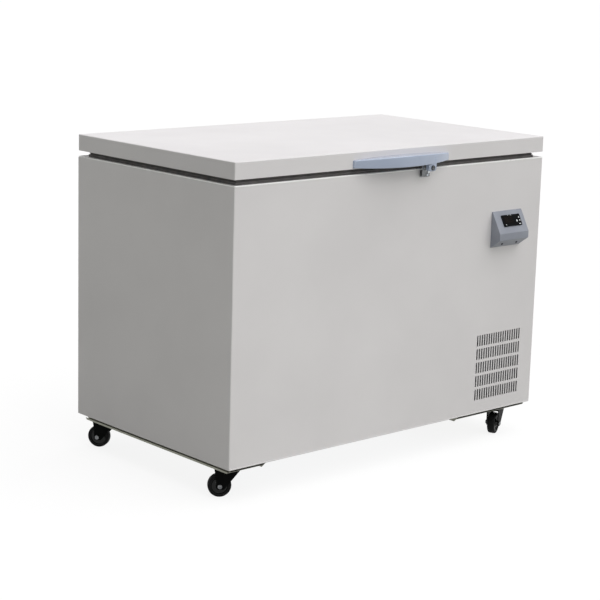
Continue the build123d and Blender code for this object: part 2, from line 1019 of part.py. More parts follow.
def lid_inner_panel():
    """Moulded panel on the skin's flange, with the plug's pan."""
    low = rim - plug_depth
    seat = lid_bottom + sheet
    panel = lid_block(sheet, lid_bottom) & block(
        (-half_width, half_width), (front, back), (seat, seat + panel_wall)
    )
    pan = plug_form(0, low, seat + panel_wall)
    pan = chamfer(pan.faces().sort_by(Axis.Z)[0].edges(), plug_edge)
    return panel + pan - plug_form(panel_wall, low + panel_wall, seat + 2 * panel_wall)


def lid_foam():
    """Foam that fills the skin and the plug."""
    seat = lid_bottom + sheet + panel_wall
    foam = lid_block(sheet, lid_bottom) & block((-half_width, half_width), (front, back), (seat, top))
    core = plug_form(panel_wall, rim - plug_depth + panel_wall, seat)
    return foam + core


def lid_gasket():
    """Magnetic seal: broad foot on the cabinet's rim, narrower bellows up to the lid."""
    foot_top = rim + seal_foot_height
    foot = ring(seal_inset, seal_inset + seal_foot, rim, foot_top)
    step = (seal_foot - seal_bellows) / 2
    bellows = ring(seal_inset + step, seal_inset + step + seal_bellows, foot_top, lid_bottom + sheet)
    return foot + bellows


def bowed_face(shift, lower):
    """The handle's outline seen from the front: bowed top and bottom edges."""
    half = handle_length / 2
    high = top - shift
    low = top - lower
    rise = handle_end_top - handle_top
    drop = handle_bottom - handle_end_bottom
    upper = ThreePointArc((-half, high - handle_end_top), (0, high - handle_end_top + rise), (half, high - handle_end_top))
    under = ThreePointArc((half, low - handle_end_bottom), (0, low - handle_end_bottom - drop), (-half, low - handle_end_bottom))
    right = Line((half, high - handle_end_top), (half, low - handle_end_bottom))
    left = Line((-half, low - handle_end_bottom), (-half, high - handle_end_top))
    return make_face(upper + right + under + left)


def handle_bow(play):
    """The round of the handle's front, which bows out from the lid."""
    centre = (0, front - handle_reach + handle_radius, top - 2 * handle_bottom)
    return rod(centre, (0, 0, 1), handle_radius - play, 2 * handle_bottom)


def lug_block():
    """The lug under the handle that holds the lock."""
    upper = block(
        (lock_x - lug_width / 2, lock_x + lug_width / 2),
        (front - lug_back, front - handle_reach),
        (lock_z, top - handle_top - 2 * handle_wall),
    )
    lower = block(
        (lock_x - lug_width / 2, lock_x + lug_width / 2),
        (front - lug_back, front - lug_front),
        (lock_z - lug_drop, lock_z),
    )
    lower = fillet(lower.edges().filter_by(Axis.Y).sort_by(Axis.Z)[:2], lug_drop - sheet)
    return upper + lower


def lid_handle():
    """Bowed shell, closed on top and open below for the fingers, with the lock's lug."""
    outer = extrude(Plane.XZ.offset(-front) * bowed_face(0, 0), handle_reach) & handle_bow(0)
    outer = chamfer(outer.faces().sort_by(Axis.Y)[0].edges(), handle_edge)
    space = extrude(
        Plane.XZ.offset(-front + handle_wall) * bowed_face(handle_wall, handle_bottom), handle_reach
    )
    space &= handle_bow(handle_wall)
    handle = outer - space + (lug_block() & handle_bow(0))
    return handle - rod((lock_x, front - 2 * handle_reach, lock_z), (0, 1, 0), barrel_radius, 2 * handle_reach)


def lock_barrel():
    """Black barrel pressed into the lug."""
    barrel = rod(
        (lock_x, front - barrel_front, lock_z), (0, 1, 0), barrel_radius, barrel_front - lug_back
    )
    return barrel - rod(
        (lock_x, front - 2 * barrel_front, lock_z), (0, 1, 0), plug_radius + running_play, 2 * barrel_front
    )


def cam_front():
    """How far in front of the cabinet the cam's front face is."""
    return lug_back - cam_gap


def lock_plug():
    """Turning plug with a keyway, and the stub that carries the cam."""
    plug = rod(
        (lock_x, front - plug_front, lock_z), (0, 1, 0), plug_radius, plug_front - cam_front()
    )
    plug += rod((lock_x, front - cam_front(), lock_z), (0, 1, 0), stub_radius, cam_thick + sheet)
    keyway = block(
        (lock_x - sheet / 2, lock_x + sheet / 2),
        (front - plug_front - sheet, front - plug_front + 3 * sheet),
        (lock_z - stub_radius, lock_z + stub_radius),
    )
    return plug - keyway


def lock_cam():
    """Flat cam behind the lug: down when unlocked, a quarter turn to the left when locked."""
    y = (front - cam_front(), front - cam_front() + cam_thick)
    disc = rod((lock_x, min(y), lock_z), (0, 1, 0), 2 * cam_half - sheet, cam_thick)
    arm = block((lock_x - cam_half, lock_x + cam_half), y, (lock_z - cam_reach, lock_z))
    arm = chamfer(arm.edges().filter_by(Axis.Y).sort_by(Axis.Z)[:2], cam_half / 2)
    return disc + arm - rod((lock_x, min(y) - sheet, lock_z), (0, 1, 0), stub_radius, 4 * cam_thick)


def keeper():
    """Screwed plate with an upright tongue whose hook the locked cam lies under."""
    left = lock_x + keeper_left
    high = lock_z - keeper_drop
    plate = block((left, left + keeper_width), (front - keeper_sheet, front), (high - keeper_height, high))
    tongue_out = cam_front()
    web = block(
        (left, left + keeper_sheet), (front - tongue_out, front), (high - tongue_foot, high)
    )
    tongue_y = (front - tongue_out, front - tongue_out + keeper_sheet)
    hook_low = lock_z + cam_half + hook_gap
    tongue = block(
        (left + keeper_sheet - tongue_width, left + keeper_sheet), tongue_y,
        (high - tongue_foot, hook_low + hook_height),
    )
    hook = block(
        (left + keeper_sheet - tongue_width, left + keeper_sheet - tongue_width + hook_reach), tongue_y,
        (hook_low, hook_low + hook_height),
    )
    return plate + web + tongue + hook


def front_screws():
    """Round heads on the keeper and under the control housing."""
    screws = []
    for x in keeper_screws_x:
        place = (lock_x + keeper_left + x, front - keeper_sheet, lock_z - keeper_drop - keeper_screws_drop)
        screws.append(pan_head_screw(place, (0, -1, 0)))
    low = console_top - console_height
    high = console_top - console_slope - console_strip
    normal = (0, -(high - low), -console_depth)
    for side in (-1, 1):
        place = (console_x + side * console_screws / 2, front - console_depth / 2, (low + high) / 2)
        screws.append(pan_head_screw(place, normal))
    return Compound(children=screws)


# Hinges


def hinge_base(x):
    """Screwed plate with two ears for the pin, and the closed housing of the counterbalance."""
    low = rim - hinge_drop
    plate = block((x - hinge_width / 2, x + hinge_width / 2), (back, back + hinge_plate), (low, rim - sheet))
    housing = block(
        (x - housing_half, x + housing_half),
        (back + hinge_plate, back + hinge_plate + housing_depth),
        (low + sheet, rim - housing_from_rim),
    )
    housing = chamfer(housing.faces().sort_by(Axis.Y)[-1].edges(), bend_radius)
    ears = []
    for side in (-1, 1):
        inner = knuckle_half + ear_gap
        ear_x = (x + side * inner, x + side * (inner + ear_thick))
        ear = block(ear_x, (back, hinge_y), (rim - housing_from_rim, hinge_z))
        ear += block(ear_x, (hinge_y, hinge_y + knuckle_radius), (rim - housing_from_rim, hinge_z))
        ear += rod((min(ear_x), hinge_y, hinge_z), (1, 0, 0), knuckle_radius, ear_thick)
        ears.append(ear)
    base_part = plate + housing + ears
    return base_part - rod(
        (x - hinge_width / 2, hinge_y, hinge_z), (1, 0, 0), hinge_pin_radius, hinge_width
    )


def hinge_pins():
    """Pins through ears and knuckles."""
    pins = []
    half = knuckle_half + ear_gap + ear_thick
    for x in hinge_places.values():
        pins.append(rod((x - half, hinge_y, hinge_z), (1, 0, 0), hinge_pin_radius, 2 * half))
    return Compound(children=pins)


def hinge_leaf(x):
    """Plate on the lid's back with a knuckle round the pin."""
    plate = block(
        (x - hinge_width / 2, x + hinge_width / 2),
        (back, back + hinge_plate),
        (lid_bottom + hinge_plate, top - bend_radius - sheet),
    )
    web = block(
        (x - knuckle_half, x + knuckle_half),
        (back, hinge_y + knuckle_radius / 2),
        (lid_bottom + sheet, lid_bottom + 2 * hinge_plate),
    )
    web += block(
        (x - knuckle_half, x + knuckle_half),
        (hinge_y - knuckle_radius / 2, hinge_y + knuckle_radius / 2),
        (hinge_z, lid_bottom + 2 * hinge_plate),
    )
    knuckle = rod((x - knuckle_half, hinge_y, hinge_z), (1, 0, 0), knuckle_radius, 2 * knuckle_half)
    leaf = plate + web + knuckle
    return leaf - rod(
        (x - hinge_width / 2, hinge_y, hinge_z), (1, 0, 0), hinge_pin_radius + running_play, hinge_width
    )


def hinge_screws(low, high):
    """Four hexagon heads on each hinge plate, between two heights."""
    screws = []
    inset = 2 * hex_head
    for x in hinge_places.values():
        for side in (-1, 1):
            for z in (low + inset, high - inset):
                place = (x + side * (hinge_width / 2 - hex_head - sheet), back + hinge_plate, z)
                screws.append(hexagon_head(place, (0, 1, 0)))
    return Compound(children=screws)


def write(name, shape):
    """One sub-part in one file."""
    shape.label = name
    export_step(shape, f"parts/{name}.step")


os.makedirs("parts", exist_ok=True)

pieces = {
    "cabinet_shell": cabinet_shell(),
    "rear_panel": rear_panel(),
    "bottom_panel": bottom_panel(),
    "partition_panel": partition_panel(),
    "top_frame": top_frame(),
    "inner_liner": inner_liner(),
    "foam_insulation": foam_insulation(),
    "evaporator_coil": evaporator_coil(),
    "temperature_probe": temperature_probe(),
    "caster_rail": caster_rail(),
    "machine_base": machine_base(),
    "caster_plates": caster_plates(),
    "caster_bolts": caster_bolts(),
    "condenser": condenser(),
    "fan_shroud": fan_shroud(),
    "fan_motor": fan_motor(),
    "fan_blade": fan_blade(),
    "compressor": compressor(),
    "compressor_grommets": compressor_grommets(),
    "terminal_cover": terminal_cover(),
    "filter_drier": filter_drier(),
    "refrigerant_pipes": refrigerant_pipes(),
    "electrical_box": electrical_box(),
    "cord_gland": cord_gland(),
    "control_housing": control_housing(),
    "control_module": control_module(),
    "control_display": control_display(),
    "keeper": keeper(),
    "front_screws": front_screws(),
    "hinge_pins": hinge_pins(),
    "hinge_base_screws": hinge_screws(rim - hinge_drop, rim - housing_from_rim),
    "hinge_leaf_screws": hinge_screws(lid_bottom + hinge_plate, top - bend_radius - sheet),
    "lid_skin": lid_skin(),
    "lid_foam": lid_foam(),
    "lid_inner_panel": lid_inner_panel(),
    "lid_gasket": lid_gasket(),
    "lid_handle": lid_handle(),
    "lock_barrel": lock_barrel(),
    "lock_plug": lock_plug(),
    "lock_cam": lock_cam(),
}
for key in key_places:
    pieces[f"key_{key}"] = control_key(key)
for side, x in hinge_places.items():
    pieces[f"hinge_base_{side}"] = hinge_base(x)
    pieces[f"hinge_leaf_{side}"] = hinge_leaf(x)
for corner in caster_places:
    pieces[f"fork_{corner}"] = caster_fork(corner)
    pieces[f"axle_{corner}"] = caster_axle(corner)
    pieces[f"wheel_{corner}"] = caster_wheel(corner)
for name, shape in pieces.items():
    write(name, shape)
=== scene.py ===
import json
import math

import bmesh
import bpy
import numpy as np
from mathutils import Matrix, Vector


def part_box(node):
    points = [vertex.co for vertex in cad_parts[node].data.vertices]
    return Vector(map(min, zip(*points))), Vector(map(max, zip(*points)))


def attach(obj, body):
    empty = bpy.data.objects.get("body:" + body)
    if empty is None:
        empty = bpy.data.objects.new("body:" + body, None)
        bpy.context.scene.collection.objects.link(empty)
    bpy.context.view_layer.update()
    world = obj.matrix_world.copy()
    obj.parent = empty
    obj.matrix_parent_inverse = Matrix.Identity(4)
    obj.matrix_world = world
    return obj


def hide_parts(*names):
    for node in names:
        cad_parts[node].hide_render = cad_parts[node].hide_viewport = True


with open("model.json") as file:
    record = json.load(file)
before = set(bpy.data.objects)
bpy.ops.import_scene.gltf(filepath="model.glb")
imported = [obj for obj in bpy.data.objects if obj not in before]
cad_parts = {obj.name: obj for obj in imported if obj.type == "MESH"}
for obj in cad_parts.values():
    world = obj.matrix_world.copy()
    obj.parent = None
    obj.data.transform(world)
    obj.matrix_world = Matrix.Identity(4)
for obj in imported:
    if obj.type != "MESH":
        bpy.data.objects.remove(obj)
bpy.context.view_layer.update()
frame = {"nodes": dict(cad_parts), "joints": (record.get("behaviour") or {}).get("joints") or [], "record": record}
mm = 0.001
joints = {joint["name"]: joint for joint in frame["joints"]}
bodyOf = {node: body for body, nodes in frame["record"]["behaviour"]["bodies"].items() for node in nodes}


# Materials: small parts that every finish is put together from

def hexColour(text):  # sRGB hex to linear
    parts = [int(text[i:i + 2], 16) / 255 for i in (1, 3, 5)]
    return [p / 12.92 if p <= 0.04045 else ((p + 0.055) / 1.055) ** 2.4 for p in parts] + [1.0]


def addNode(tree, kind, values=None, links=None, **settings):
    node = tree.nodes.new(kind)
    for name, value in settings.items():
        setattr(node, name, value)
    for name, value in (values or {}).items():
        node.inputs[name].default_value = value
    for name, source in (links or {}).items():
        tree.links.new(source, node.inputs[name])
    return node


def startFinish(name, colour, roughness, metallic=0.0, ior=1.5, sockets=None):
    material = bpy.data.materials.new(name)
    material.use_nodes = True
    tree = material.node_tree
    shader = tree.nodes["Principled BSDF"]
    shader.inputs["Base Color"].default_value = hexColour(colour)
    shader.inputs["Roughness"].default_value = roughness
    shader.inputs["Metallic"].default_value = metallic
    shader.inputs["IOR"].default_value = ior
    for socket, value in (sockets or {}).items():
        shader.inputs[socket].default_value = value
    place = addNode(tree, "ShaderNodeTexCoord").outputs["Object"]
    return {"material": material, "tree": tree, "shader": shader, "place": place}


def perMetre(sizeMm):  # how often a feature of that size comes back in a metre
    return 1000.0 / sizeMm


def softNoise(finish, sizeMm, detail, stretch=(1, 1, 1)):
    place = addNode(finish["tree"], "ShaderNodeMapping", {"Scale": stretch}, {"Vector": finish["place"]}).outputs[0]
    values = {"Scale": perMetre(sizeMm), "Detail": detail}
    return addNode(finish["tree"], "ShaderNodeTexNoise", values, {"Vector": place}).outputs[0]


def cloudTone(finish, sizeMm, first, second):
    # soft patches from one tone to another, sizeMm across
    tree, noise = finish["tree"], softNoise(finish, sizeMm, 3.0)
    share = addNode(tree, "ShaderNodeMapRange", {"From Min": 0.35, "From Max": 0.65}, {"Value": noise}).outputs[0]
    tone = addNode(tree, "ShaderNodeMix", {6: hexColour(first), 7: hexColour(second)}, {0: share}, data_type="RGBA")
    tree.links.new(tone.outputs[2], finish["shader"].inputs["Base Color"])


def cloudGloss(finish, sizeMm, low, high, stretch=(1, 1, 1)):
    # roughness that wanders between two values, as handling and tooling leave it
    values = {"From Min": 0.3, "From Max": 0.7, "To Min": low, "To Max": high}
    noise = softNoise(finish, sizeMm, 4.0, stretch)
    gloss = addNode(finish["tree"], "ShaderNodeMapRange", values, {"Value": noise})
    finish["tree"].links.new(gloss.outputs[0], finish["shader"].inputs["Roughness"])


def grain(finish, sizeMm, depthMm, detail=2.0, cells=False):
    # raised grain: noise for paint and moulding, cells for embossing and foam
    tree = finish["tree"]
    kind = "ShaderNodeTexVoronoi" if cells else "ShaderNodeTexNoise"
    pattern = addNode(tree, kind, {"Scale": perMetre(sizeMm), "Detail": detail}, {"Vector": finish["place"]})
    values = {"Strength": 1.0, "Distance": depthMm * mm}
    bump = addNode(tree, "ShaderNodeBump", values, {"Height": pattern.outputs[0]})
    tree.links.new(bump.outputs[0], finish["shader"].inputs["Normal"])


def galvanisedSheet():
    # hot-dip zinc: dull metal with pale and dark crystals about 9 mm across
    finish = startFinish("galvanisedSheet", "#B4B8BA", 0.46, 1.0)
    tree = finish["tree"]
    cells = addNode(tree, "ShaderNodeTexVoronoi", {"Scale": perMetre(9.0)}, {"Vector": finish["place"]})
    value = addNode(tree, "ShaderNodeSeparateColor", links={"Color": cells.outputs["Color"]})
    tone = addNode(
        tree, "ShaderNodeMix", {6: hexColour("#A3A8AB"), 7: hexColour("#C6CACB")},
        {0: value.outputs[0]}, data_type="RGBA",
    )
    tree.links.new(tone.outputs[2], finish["shader"].inputs["Base Color"])
    gloss = addNode(tree, "ShaderNodeMapRange", {"To Min": 0.38, "To Max": 0.56}, {"Value": value.outputs[1]})
    tree.links.new(gloss.outputs[0], finish["shader"].inputs["Roughness"])
    grain(finish, 14.0, 0.03)
    return finish["material"]


# Each row: base as colour, roughness, metal or not, IOR; tone as patches in mm and their two colours; gloss as
# patches in mm with the lowest and highest roughness; relief as grain in mm, its depth in mm, then detail and
# whether it is cells; last, other sockets of the shader
finishes = {
    # epoxy powder baked on sheet steel: satin, with a faint orange peel (1 to 2 mm, drawn coarser to show)
    "powderCoatedSteel": (("#E4E1E2", 0.42), (340.0, "#E4E1E2", "#DFDCDD"), (120.0, 0.38, 0.47), (3.2, 0.016)),
    # stucco-rolled liner sheet: pebbled relief of 4 to 5 mm that breaks up reflections
    "embossedAluminium": (("#C9CCCE", 0.36, 1.0), (160.0, "#C2C6C8", "#D2D5D6"), None, (4.6, 0.45, 1.0, True)),
    # vacuum-formed high-impact styrene: soft satin with a faint drawn unevenness
    "paleStyrene": (("#DADCDC", 0.45), (220.0, "#DEE0E0", "#D3D6D6"), (60.0, 0.4, 0.52), (9.0, 0.05)),
    # extruded white PVC with a soft sheen; its white is set above the paint's as a painted highlight along the lit
    # upper rim
    "extrudedPvcAndPaintedHighlight": (("#FAFAF9", 0.3), (90.0, "#FCFCFB", "#F5F5F4"), (30.0, 0.26, 0.36)),
    # extruded soft vinyl: dull dark grey with draw lines and a little dust
    "sealVinyl": (("#706E6D", 0.66), (45.0, "#696766", "#7A7877"), (20.0, 0.58, 0.76), (1.2, 0.03)),
    # injection-moulded ABS in blue grey under clear lacquer: glossy, white at a grazing angle
    "mouldedHandleAbs": (("#9FABC2", 0.14), (60.0, "#A1ADC4", "#9CA8BF"), (25.0, 0.12, 0.18),
                         (0.9, 0.004), {"Coat Weight": 1.0, "Coat Roughness": 0.1}),
    # injection-moulded ABS in cool grey: satin, with spark-eroded grain
    "mouldedConsoleAbs": (("#90949F", 0.42), (50.0, "#9397A2", "#8A8E99"), (18.0, 0.38, 0.48), (0.9, 0.012)),
    # polished black polycarbonate with fine dust
    "glossyBezelPlastic": (("#050608", 0.16, 0.0, 1.58), (7.0, "#040507", "#08090C"), (5.0, 0.12, 0.24),
                           None, {"Specular IOR Level": 0.04}),
    # tinted acrylic over unlit digits: near black with a warm brown depth
    "smokedWindow": (("#0D0908", 0.08, 0.0, 1.49), (14.0, "#0B0807", "#130D0B"), (6.0, 0.06, 0.12),
                     None, {"Specular IOR Level": 0.05}),
    # red segments of the display, switched off
    "unlitSegments": (("#140D0B", 0.3), (2.0, "#120C0A", "#191210"), None, None, {"Specular IOR Level": 0.05}),
    # silicone key caps with a lacquered top
    "keyRubber": (("#0B0C0F", 0.44), (3.0, "#0A0B0D", "#101216"), None, (0.5, 0.01), {"Specular IOR Level": 0.1}),
    # screen-printed ink: flat white, slightly uneven
    "printedWhite": (("#E8ECEE", 0.5), (1.5, "#ECEFF0", "#D9DEE1"), None, (0.4, 0.006)),
    # nickel and chrome plate: mirror with faint polishing haze
    "brightChrome": (("#D3D5D6", 0.12, 1.0), (6.0, "#D6D8D9", "#C3C6C8"), (3.0, 0.08, 0.2)),
    # bright zinc plating: metal with a cool bloom, duller than chrome
    "zincPlate": (("#BFC4C8", 0.28, 1.0), (8.0, "#C5C9CC", "#A9B0B7"), (4.0, 0.22, 0.38), (1.6, 0.01)),
    # black chromate over zinc: dark grey metal, worn paler in patches
    "blackZinc": (("#707274", 0.34, 1.0), (9.0, "#636567", "#7F8182"), (4.0, 0.28, 0.42), (1.6, 0.01)),
    # zinc sheet with an olive chromate film: a dull, dark, greenish metal
    "passivatedSheet": (("#84847A", 0.5, 1.0), (26.0, "#8A8A80", "#7A7A6F"), (14.0, 0.44, 0.58), (11.0, 0.03)),
    # stoved black enamel on pressed steel: deep black with soft shine
    "blackEnamel": (("#070808", 0.42), (18.0, "#070808", "#0D0E0E"), (9.0, 0.36, 0.5),
                    (1.6, 0.012), {"Specular IOR Level": 0.03}),
    # glossy moulded black nylon: sharp highlights round the dish
    "hubNylon": (("#08090A", 0.16), (9.0, "#090A0B", "#101313"), (6.0, 0.13, 0.22),
                 None, {"Specular IOR Level": 0.22}),
    # black rubber tread: dull, greyed by floor dust
    "treadRubber": (("#0E0E0F", 0.58), (11.0, "#0B0B0C", "#151516"), (6.0, 0.5, 0.72),
                    (1.1, 0.03), {"Specular IOR Level": 0.1}),
    # soft moulded rubber feet
    "greyRubber": (("#232324", 0.7), (8.0, "#1F1F20", "#2C2C2D"), None, (1.0, 0.03)),
    # filled nylon mouldings: fan, cord gland and covers
    "blackNylon": (("#161718", 0.48), (12.0, "#131415", "#1F2021"), None, (0.8, 0.015)),
    # drawn copper tube, tarnished in patches
    "drawnCopper": (("#C08058", 0.3, 1.0), (22.0, "#C98A61", "#8F5A3E"), (9.0, 0.22, 0.45)),
    # thick black dip paint on the compressor can: glossy, with runs
    "canEnamel": (("#101112", 0.26), (40.0, "#0E0F10", "#191A1C"), (30.0, 0.2, 0.36), (12.0, 0.06)),
    # rolled foil fins, lightly oxidised
    "finAluminium": (("#C4C8CA", 0.34, 1.0), (30.0, "#CDD0D2", "#AEB3B6"), (10.0, 0.28, 0.44)),
    # drawn stainless tube with fine lines along it
    "brushedStainless": (("#C3C5C6", 0.26, 1.0), (10.0, "#C9CBCC", "#B2B5B7"), (2.0, 0.2, 0.36, (0.05, 1, 1))),
    # poured polyurethane: straw-coloured closed cells
    "foamCells": (("#DCCB9B", 0.85), (70.0, "#E0D0A2", "#CDB884"), None, (2.4, 0.5, 1.0, True)),
}


def makeFinish(name, base, tone, gloss=None, relief=None, sockets=None):
    finish = startFinish(name, *base, sockets=sockets)
    cloudTone(finish, *tone)
    if gloss:
        cloudGloss(finish, *gloss)
    if relief:
        grain(finish, *relief)
    return finish["material"]


made = {name: makeFinish(name, *row) for name, row in finishes.items()}
made["galvanisedSheet"] = galvanisedSheet()
print("materials:", len(bpy.data.materials))


# Meshes: surfaces on a grid of two parameters

def meshPiece(name, points, faces, finish, body, stands=(), smoothAngle=40.0, merge=True):
    mesh = bpy.data.meshes.new(name)
    mesh.from_pydata(np.asarray(points, float).reshape(-1, 3), [], faces)
    if merge:
        edit = bmesh.new()
        edit.from_mesh(mesh)
        bmesh.ops.remove_doubles(edit, verts=edit.verts, dist=1e-6)
        bmesh.ops.dissolve_degenerate(edit, edges=edit.edges, dist=1e-7)
        bmesh.ops.recalc_face_normals(edit, faces=edit.faces)
        edit.to_mesh(mesh)
        edit.free()
    mesh.update()
    return placePiece(name, mesh, finish, body, stands, smoothAngle)


def placePiece(name, mesh, finish, body, stands, smoothAngle):
    mesh.polygons.foreach_set("use_smooth", [True] * len(mesh.polygons))
    mesh.set_sharp_from_angle(angle=math.radians(smoothAngle))
    mesh.materials.clear()
    mesh.materials.append(made[finish])
    piece = bpy.data.objects.new(name, mesh)
    bpy.context.scene.collection.objects.link(piece)
    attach(piece, body)
    if stands:
        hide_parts(*stands)
    return piece


def gridFaces(rows, columns, closed=True):
    # quads of a grid; closed joins the last column to the first
    row, column = np.meshgrid(np.arange(rows - 1), np.arange(columns if closed else columns - 1), indexing="ij")
    after = (column + 1) % columns
    quads = np.stack([row * columns + column, row * columns + after,
                      (row + 1) * columns + after, (row + 1) * columns + column], axis=-1)
    return quads.reshape(-1, 4).tolist()


def stackPiece(name, rings, finish, body, stands=(), smoothAngle=40.0, capped=True):
    # closed rings joined one to the next; capped closes the first and the last by flat faces
    rings = np.asarray(rings, float)
    count, around = rings.shape[:2]
    faces = gridFaces(count, around)
    if capped:
        faces.append(list(range(around)))
        faces.append([(count - 1) * around + i for i in reversed(range(around))])
    return meshPiece(name, rings, faces, finish, body, stands, smoothAngle)


def turnedPiece(name, profile, centre, axis, finish, body, stands=(), segments=48, smoothAngle=35.0):
    # (radius, along) pairs in mm turned about an axis: p = c + along*a + radius*(u*cos + v*sin)
    capped = tuple(profile[0]) != tuple(profile[-1])  # a profile that ends where it began needs no cap
    profile = np.asarray(profile, float) * mm
    axis = np.asarray(Vector(axis).normalized())
    side = unit(np.cross(axis, (0, 0, 1)) if abs(axis[2]) < 0.9 else np.cross(axis, (1, 0, 0)))
    other = np.cross(axis, side)
    angle = turns(segments)
    spin = np.cos(angle)[:, None] * side + np.sin(angle)[:, None] * other
    rings = np.asarray(centre) + profile[:, 1, None, None] * axis + profile[:, 0, None, None] * spin
    return stackPiece(name, rings, finish, body, stands, smoothAngle, capped)


def unit(rows):  # each row at length one
    return rows / np.linalg.norm(rows, axis=-1)[..., None]


def turns(count):  # even steps round a full turn
    return np.linspace(0, 2 * math.pi, count, endpoint=False)


def quadratic(start, middle, end, steps):
    # one curve for each row of points: p = (1-t)^2 start + 2t(1-t) middle + t^2 end
    t = np.linspace(0, 1, steps)[None, :, None]
    curves = (1 - t) ** 2 * start[:, None] + 2 * t * (1 - t) * middle[:, None] + t ** 2 * end[:, None]
    return curves.reshape(-1, start.shape[1])


def easedLoop(corners, radius, steps=8):
    # a closed outline whose corners are rounded by curves that start and end one radius away
    corners = np.asarray(corners, float)
    before = unit(np.roll(corners, 1, axis=0) - corners)
    after = unit(np.roll(corners, -1, axis=0) - corners)
    radius = np.broadcast_to(np.asarray(radius, float), len(corners))[:, None]
    return quadratic(corners + before * radius, corners, corners + after * radius, steps)


def easedPath(points, radius, steps=8):
    # an open path whose inner corners are rounded the same way
    points = np.asarray(points, float)
    inner = points[1:-1]
    before, after = unit(points[:-2] - inner), unit(points[2:] - inner)
    bends = quadratic(inner + before * radius, inner, inner + after * radius, steps)
    return np.vstack([points[:1], bends, points[-1:]])


def planRing(low, high, edge, front, radius, level):
    # a rounded rectangle seen from above, drawn in by edge, and by front on its front side, at one height
    corners = [(low.x + edge, low.y + front), (high.x - edge, low.y + front),
               (high.x - edge, high.y - edge), (low.x + edge, high.y - edge)]
    loop = easedLoop(corners, radius)
    return np.column_stack([loop, np.full(len(loop), level)])


def cappedTube(path, radius, flat, around):
    # a circle carried along a path in the plane whose normal is flat, each end drawn in to a point to close it
    tangent = unit(np.gradient(path, axis=0))
    flat = np.asarray(flat, float)
    across = unit(np.cross(tangent, flat))
    angle = turns(around)
    spin = np.cos(angle)[None, :, None] * flat + np.sin(angle)[None, :, None] * across[:, None, :]
    grid = path[:, None, :] + radius * spin
    first, last = (np.repeat(end.mean(1, keepdims=True), around, axis=1) for end in (grid[:1], grid[-1:]))
    return np.concatenate([first, grid, last])


def joinedGrids(name, grids, finish, body, stands, closed=True):
    points, faces, start = [], [], 0
    for grid in grids:
        rows, columns = grid.shape[:2]
        faces += [[i + start for i in face] for face in gridFaces(rows, columns, closed)]
        points.append(grid.reshape(-1, 3))
        start += rows * columns
    return meshPiece(name, np.concatenate(points), faces, finish, body, stands)


def softenedCopy(node, finish, edgeMm, name, segments=2):
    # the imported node's own form with its doubles merged and its edges broken by a small bevel
    mesh = frame["nodes"][node].data.copy()
    edit = bmesh.new()
    edit.from_mesh(mesh)
    bmesh.ops.remove_doubles(edit, verts=edit.verts, dist=2e-6)
    bmesh.ops.dissolve_limit(edit, angle_limit=math.radians(0.6), verts=edit.verts, edges=edit.edges)
    edit.to_mesh(mesh)
    edit.free()
    piece = placePiece(name, mesh, finish, bodyOf[node], (node,), 35.0)
    if edgeMm:
        bevel = piece.modifiers.new("brokenEdges", "BEVEL")
        bevel.width = edgeMm * mm
        bevel.segments = segments
        bevel.limit_method = "ANGLE"
        bevel.angle_limit = math.radians(38)
    flats = piece.modifiers.new("levelFlats", "WEIGHTED_NORMAL")  # large faces keep their own normal
    flats.keep_sharp = True
    flats.weight = 90


def middle(node):
    low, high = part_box(node)
    return (low + high) / 2


# Pieces that keep their packed form: by finish and slot, each node with the width of its broken edges in mm

copies = {
    ("powderCoatedSteel", "white_paint"): {"cabinet_shell": 0, "lid_skin": 0},
    ("embossedAluminium", "liner_metal"): {"inner_liner": 0},
    ("paleStyrene", "pale_plastic"): {"top_frame": 0.6, "lid_inner_panel": 0},
    ("passivatedSheet", "galvanised"): {"caster_rail": 0.5, "machine_base": 0.5},
    ("brushedStainless", "chrome"): {"temperature_probe": 0.6},
    ("brightChrome", "chrome"): {"hinge_pins": 0.5},
    ("zincPlate", "chrome"): {
        "lock_cam": 0.3, "caster_bolts": 0.4, "hinge_base_screws": 0.4, "hinge_leaf_screws": 0.4,
    },
    ("blackZinc", "chrome"): {"lock_plug": 0.5, "keeper": 0.4},
    ("blackEnamel", "black_metal"): {"caster_plates": 0.5},
    ("glossyBezelPlastic", "module_plastic"): {"control_module": 0.5},
    ("smokedWindow", "display_window"): {"control_display": 0.2},
    ("galvanisedSheet", "galvanised"): {"fan_shroud": 0, "electrical_box": 0.5},
    ("greyRubber", "grey_rubber"): {"compressor_grommets": 1.2},
    ("blackNylon", "black_plastic"): {"terminal_cover": 2.0},
}
renamed = {"keeper": "lockKeeper", "control_display": "displayWindow", "compressor_grommets": "compressorFeet"}
dressed = {  # hidden in the walls, or flat and plain: left as packed, with a finish
    "rear_panel": "powderCoatedSteel", "bottom_panel": "galvanisedSheet", "partition_panel": "galvanisedSheet",
    "foam_insulation": "foamCells", "lid_foam": "foamCells", "evaporator_coil": "drawnCopper",
}


def buildCopies():
    for (finish, slotName), nodes in copies.items():
        for node, edgeMm in nodes.items():
            first, *others = node.split("_")
            name = renamed.get(node, first + "".join(word.title() for word in others))
            softenedCopy(node, finish, edgeMm, name)
    for node, finish in dressed.items():
        slots = frame["nodes"][node].data.materials
        slots.clear()
        slots.append(made[finish])
    print("plain pieces built")


# Edging of the cabinet: a circle carried round it, flush with the sides and a little proud of the front

edging = {"round": 2.3, "corner": 5.0, "proud": 0.6, "topRise": -0.7, "bottomRise": 0.7, "around": 16}


